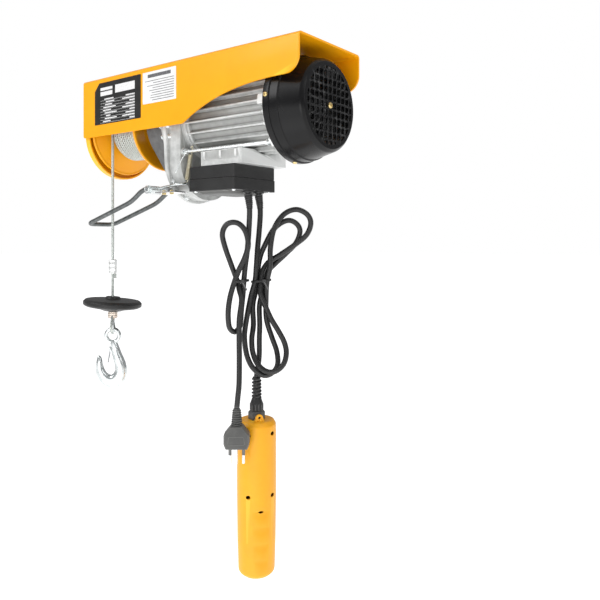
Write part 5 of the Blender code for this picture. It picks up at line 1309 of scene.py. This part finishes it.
def limit_pieces():
    """Pivoting yoke with its nuts, the bent steel loop, spring and bracket screws."""
    px, pz = -0.0500, -0.1845
    near, far = -0.0735, -0.0233
    ears = (-0.0610, -0.0510)
    bar = rounded([(px - 0.0080, pz + 0.0050, 0.0020), (px - 0.0080, pz - 0.0060, 0.0020),
                   (px + 0.0050, pz - 0.0060, 0.0020), (px + 0.0075, pz, 0.0030),
                   (px + 0.0050, pz + 0.0050, 0.0030)], 6)
    bm = started(slab, bar, "Y", near - 0.0050, far + 0.0050)
    arm = [(px + 0.0020, -0.0670, pz + 0.0020), (-0.0350, -0.0670, -0.1822),
           (-0.0100, -0.0670, -0.1795),
           (0.0000, -0.0645, -0.1787), (0.0026, -0.0575, -0.1775), (0.0008, -0.0510, -0.1758)]
    bm = carve(bm, started(sweep, smooth_path(arm, 0.0012), circle(0.0018, 20), up=(0, 1, 0)),
               "UNION")
    cut = bmesh.new()
    for y in ears:
        block(cut, (px - 0.0042, y - 0.0014, pz - 0.0090), (px + 0.0200, y + 0.0014, pz + 0.0090))
    bm = carve(bm, cut)
    for y, side in ((near - 0.0050, -1), (far + 0.0050, 1)):
        hexagon(bm, (px, y, pz), (0, side, 0), 0.0080, 0.0036, washer=0.0058)
    hexagon(bm, (px - 0.0078, near, pz + 0.0012), (-1, 0, 0), 0.0090, 0.0034)
    hexagon(bm, (px - 0.0078, far, pz + 0.0012), (-1, 0, 0), 0.0090, 0.0034)
    piece("limit_yoke_plated", bm, "limit_yoke", bevel=0.0004)

    leg = [(px - 0.0084, -0.1833), (-0.0640, -0.1835), (-0.0740, -0.1870), (-0.0960, -0.2012),
           (-0.1500, -0.2173), (-0.2050, -0.2335)]
    path = [Vector((x, near, z)) for x, z in leg] + [Vector((x, far, z)) for x, z in leg[::-1]]
    smooth = [path[0]]
    for a, b, c in zip(path, path[1:], path[2:]):
        back, ahead = a - b, c - b
        cut_at = min(0.0125, back.length * 0.45, ahead.length * 0.45)
        p, q = b + back.normalized() * cut_at, b + ahead.normalized() * cut_at
        for i in range(9):
            t = i / 8
            smooth.append(p * (1 - t) ** 2 + b * 2 * t * (1 - t) + q * t * t)
    smooth.append(path[-1])
    bm = started(sweep, smooth, circle(0.0035, 24), up=(0, 0, 1))
    piece("stop_loop_bent", bm, "stop_loop", smooth=50)

    # Coil spring with hooked ends
    top, bottom = Vector((0.0085, -0.0500, -0.1345)), Vector((0.0005, -0.0500, -0.1710))
    turns, each, coil = 19, 16, 0.0030
    head = (bottom - top).normalized()
    side = head.cross(AXES["Y"]).normalized()
    points = [top - head * 0.0050, top - head * 0.0015 + side * coil * 0.5]
    for i in range(turns * each + 1):
        a = 2 * math.pi * i / each
        points.append(top.lerp(bottom, i / (turns * each)) + (side * math.cos(a)
                      + AXES["Y"] * math.sin(a)) * coil)
    points += [bottom + head * 0.0015 + side * coil * 0.5, bottom + head * 0.0045]
    bm = started(sweep, points, circle(0.00065, 10), up=(0, 1, 0))
    sweep(bm, smooth_path([top - head * 0.0050, top - head * 0.0095 + side * 0.0022,
                           top - head * 0.0120, top - head * 0.0090 - side * 0.0020], 0.0008),
          circle(0.00065, 10), up=(0, 1, 0))
    piece("return_spring_coiled", bm, "return_spring", [SPRING], smooth=60)

    # Thin stay wire from the tie rod to the gearbox ear
    bm = bmesh.new()
    stay = [(0.0060, -0.0512, -0.1275), (-0.0020, -0.0580, -0.1420), (-0.0130, -0.0600, -0.1610)]
    sweep(bm, smooth_path(stay, 0.002), circle(0.0006, 10), up=(0, 1, 0))
    extra("stay_wire", bm, "frame", "zinc_steel", smooth=60)

    soften("limit_bracket", 0.0004)
    bm = bmesh.new()
    for x in (-0.0245, -0.0085):
        pan_head(bm, (x, -0.0715, -0.1888), "Z", 0.0030, 0.0020, 0)
        hexagon(bm, (x, -0.0715, -0.1908), (0, 0, -1), 0.0060, 0.0024, 0)
    extra("limit_bracket_screws", bm, "frame", looks=[BRASS])


# ---------------------------------------------------------------- pendant handset

def pend_frame(across, out, z):
    """A point by the handset: across its width, out through its front, at height z."""
    return PEND + PEND_SIDE * across + PEND_FRONT * out + Vector((0, 0, z))


def pend_matrix(across, out, z):
    turn = Matrix((PEND_FRONT, PEND_SIDE, Vector((0, 0, 1)))).transposed().to_4x4()
    return Matrix.Translation(pend_frame(across, out, z)) @ turn


def pendant_pieces():
    r, top, low = PEND_R, PEND_TOP, PEND_BOTTOM
    wall = 0.0025
    corners = [(top, 0), (top, r - 0.0040, 0.0035), (top - 0.0060, r - 0.0003, 0.0060),
               (top - 0.0200, r, 0.02), (-0.6200, r, 0.05), (-0.6900, r - 0.0008, 0.05),
               (low + 0.0060, r - 0.0022, 0.0080), (low, r - 0.0095, 0.0060), (low, 0)]
    skin = [(p.x, p.y) for p in rounded(corners, 6, False)]
    inside = [(top - wall, 0), (top - wall, r - 0.0085), (top - 0.0090, r - wall - 0.0003),
              (-0.6200, r - wall), (low + 0.0080, r - 0.0050), (low + wall, r - 0.0125),
              (low + wall, 0)]
    at = (PEND.x, PEND.y, 0)

    def half(sign):
        bm = started(lathe, skin, at, "Z", 112)
        if sign > 0:
            front = bmesh.new()
            rings = []
            steps = 8
            for i in range(steps + 1):
                t = i / steps
                inset = 0.0 if t < 0.8 else 0.0014 * (t - 0.8) / 0.2
                ring = rounded([(-0.0220 + inset, -0.6180 + inset, 0.0080),
                                (0.0220 - inset, -0.6180 + inset, 0.0080),
                                (0.0220 - inset, -0.5450 - inset, 0.0080),
                                (-0.0220 + inset, -0.5450 - inset, 0.0080)], 8)
                out = 0.0120 + (0.0370 - 0.0120) * t if t < 1 else 0.0370
                rings.append([pend_frame(p.x, out, p.y) for p in ring])
            loft(front, rings)
            bm = carve(bm, front, "UNION")
        bm = carve(bm, started(lathe, inside, at, "Z", 64))
        away = bmesh.new()
        block(away, None, None, place=pend_matrix(0, -sign * (0.05 - 0.00015), (top + low) / 2),
              size=(0.10, 0.20, 0.30))
        bm = carve(bm, away)
        bm = carve(bm, started(rod, (PEND.x, PEND.y, top - 0.01), (PEND.x, PEND.y, top + 0.01),
                               0.0080, 48))
        return carve(bm, started(rod, (PEND.x, PEND.y, low - 0.01), (PEND.x, PEND.y, low + 0.01),
                                 0.0042, 32))

    front = half(1)
    wells = bmesh.new()
    buttons = (-0.5640, -0.5990)
    for z in buttons:
        rod(wells, pend_frame(0, 0.0050, z), pend_frame(0, 0.0550, z), 0.0109, 48)
    front = carve(front, wells)
    piece("pendant_front_moulded", front, "pendant_front_shell", bevel=0.0004, segments=2, angle=40)

    rear = half(-1)
    eye = bmesh.new()
    place = -0.0158
    turned(eye, [(-0.0017, 0), (-0.0017, 0.0057, 0.0006), (0.0017, 0.0057, 0.0006), (0.0017, 0)],
           pend_frame(0, place, top + 0.0044), PEND_FRONT, 48)
    foot = bmesh.new()
    block(foot, None, None, place=pend_matrix(0, place, top + 0.0002),
          size=(0.0030, 0.0126, 0.0066))
    rear = carve(carve(rear, foot, "UNION"), eye, "UNION")
    rear = carve(rear, started(rod, pend_frame(0, place - 0.01, top + 0.0052),
                               pend_frame(0, place + 0.01, top + 0.0052), 0.0019, 28))
    # Finger grooves: a steep lower side and a long upper sweep, cut across the back
    for z in (-0.6470, -0.6705, -0.6940, -0.7170):
        tool = bmesh.new()
        outline = ([(z + 0.0062, r + 0.02), (z + 0.0062, r + 0.0004), (z + 0.0050, r - 0.0026)]
                   + [(z + 0.0020 - 0.0120 * t, r - 0.0034 + 0.0046 * t ** 1.6)
                      for t in (0, 0.2, 0.4, 0.6, 0.8, 1.0)] + [(z - 0.0120, r + 0.02)])
        rings = []
        for across in (-0.04, 0.04):
            rings.append([pend_frame(across, -out, h) for h, out in outline])
        loft(tool, rings)
        rear = carve(rear, tool)
    recess = bmesh.new()
    side_spots = []
    for z in (-0.5360, -0.6240):
        for sign in (-1, 1):
            a = math.radians(180 + sign * 46)
            spot = PEND + Vector((0, 0, z))
            mouth = spot - PEND_FRONT * (r * 0.42) + PEND_SIDE * (math.sin(a) * r * 0.86)
            rod(recess, mouth, mouth - PEND_FRONT * 0.03, 0.0030, 28)
            side_spots.append(mouth)
    rear = carve(rear, recess)
    piece("pendant_rear_moulded", rear, "pendant_rear_shell", bevel=0.0006, segments=3, angle=40)
    bm = bmesh.new()
    for mouth in side_spots:
        pan_head(bm, mouth - PEND_FRONT * 0.0002, -PEND_FRONT, 0.0026, 0.0016)
    extra("pendant_screws", bm, "frame", "dark_steel")

    # Gland nut and spiral boot
    bm = bmesh.new()
    hexagon(bm, (PEND.x, PEND.y, top + 0.0003), "Z", 0.0212, 0.0122)
    turned(bm, [(0.0120, 0), (0.0120, 0.0098, 0.0010), (0.0240, 0.0090, 0.0020),
                (0.0290, 0.0072, 0.0020),
                (0.0310, 0.0062), (0.0310, 0)], (PEND.x, PEND.y, top), "Z", 48)
    for i in range(12):
        a = 2 * math.pi * i / 12
        foot_at = Vector((PEND.x + 0.0094 * math.cos(a), PEND.y + 0.0094 * math.sin(a), top))
        rod(bm, foot_at + Vector((0, 0, 0.0135)), foot_at + Vector((0, 0, 0.0225)), 0.0008, 10)
    coil = []
    turns = 6
    for i in range(turns * 28 + 1):
        a, t = 2 * math.pi * i / 28, i / (turns * 28)
        rad = 0.0061 - 0.0005 * t
        coil.append((PEND.x + rad * math.cos(a), PEND.y + rad * math.sin(a),
                     top + 0.0300 + 0.0295 * t))
    section = rounded([(-0.0012, -0.0014, 0.0006), (0.0012, -0.0014, 0.0006),
                       (0.0012, 0.0014, 0.0006), (-0.0012, 0.0014, 0.0006)], 3)
    sweep(bm, coil, [(p.x, p.y) for p in section], up=(1, 0, 0))
    turned(bm, [(0.0290, 0.0041), (0.0290, 0.0054), (0.0602, 0.0050), (0.0606, 0.0041)],
           (PEND.x, PEND.y, top), "Z", 32)
    turned(bm, [(0.0585, 0.0041), (0.0585, 0.0060, 0.0005), (0.0608, 0.0058, 0.0005),
                (0.0608, 0.0041)], (PEND.x, PEND.y, top), "Z", 40)
    piece("pendant_gland_moulded", bm, "pendant_gland_nut", [LOOK["black_plastic"]], smooth=40)

    bm = bmesh.new()
    turned(bm, [(-0.0054, 0), (-0.0054, 0.0048, 0.0010), (-0.0030, 0.0060, 0.0010),
                (-0.0003, 0.0064, 0.0004), (-0.0003, 0.0039), (0.0055, 0.0039), (0.0055, 0)],
           (PEND.x, PEND.y, low), "Z", 40)
    piece("pendant_end_stub", bm, "pendant_end_plug")

    for name, z, node_name, sign in (("up_button_moulded", buttons[0], "up_button", 1),
                                     ("down_button_moulded", buttons[1], "down_button", -1)):
        bm = bmesh.new()
        turned(bm, [(0.0150, 0), (0.0150, 0.0105), (0.0410, 0.0105, 0.0012),
                    (0.0406, 0.0060, 0.0040),
                    (0.0404, 0)], pend_frame(0, 0, z), PEND_FRONT, 56)
        # A plain raised arrow shows which way the hook goes
        arrow = [(-0.0036, -0.0020), (0.0036, -0.0020), (0.0, 0.0034)]
        rings = [[pend_frame(a, out, z + b * sign) for a, b in arrow] for out in (0.0400, 0.0414)]
        loft(bm, rings, 1)
        piece(name, bm, node_name, [LOOK["black_plastic"], PRINT_WHITE])


# ---------------------------------------------------------------- all of it

studio()
cords()
frame_pieces()
drum_pieces()
block_pieces()
hook_pieces()
gearbox_pieces()
motor_pieces()
control_box_pieces()
limit_pieces()
pendant_pieces()
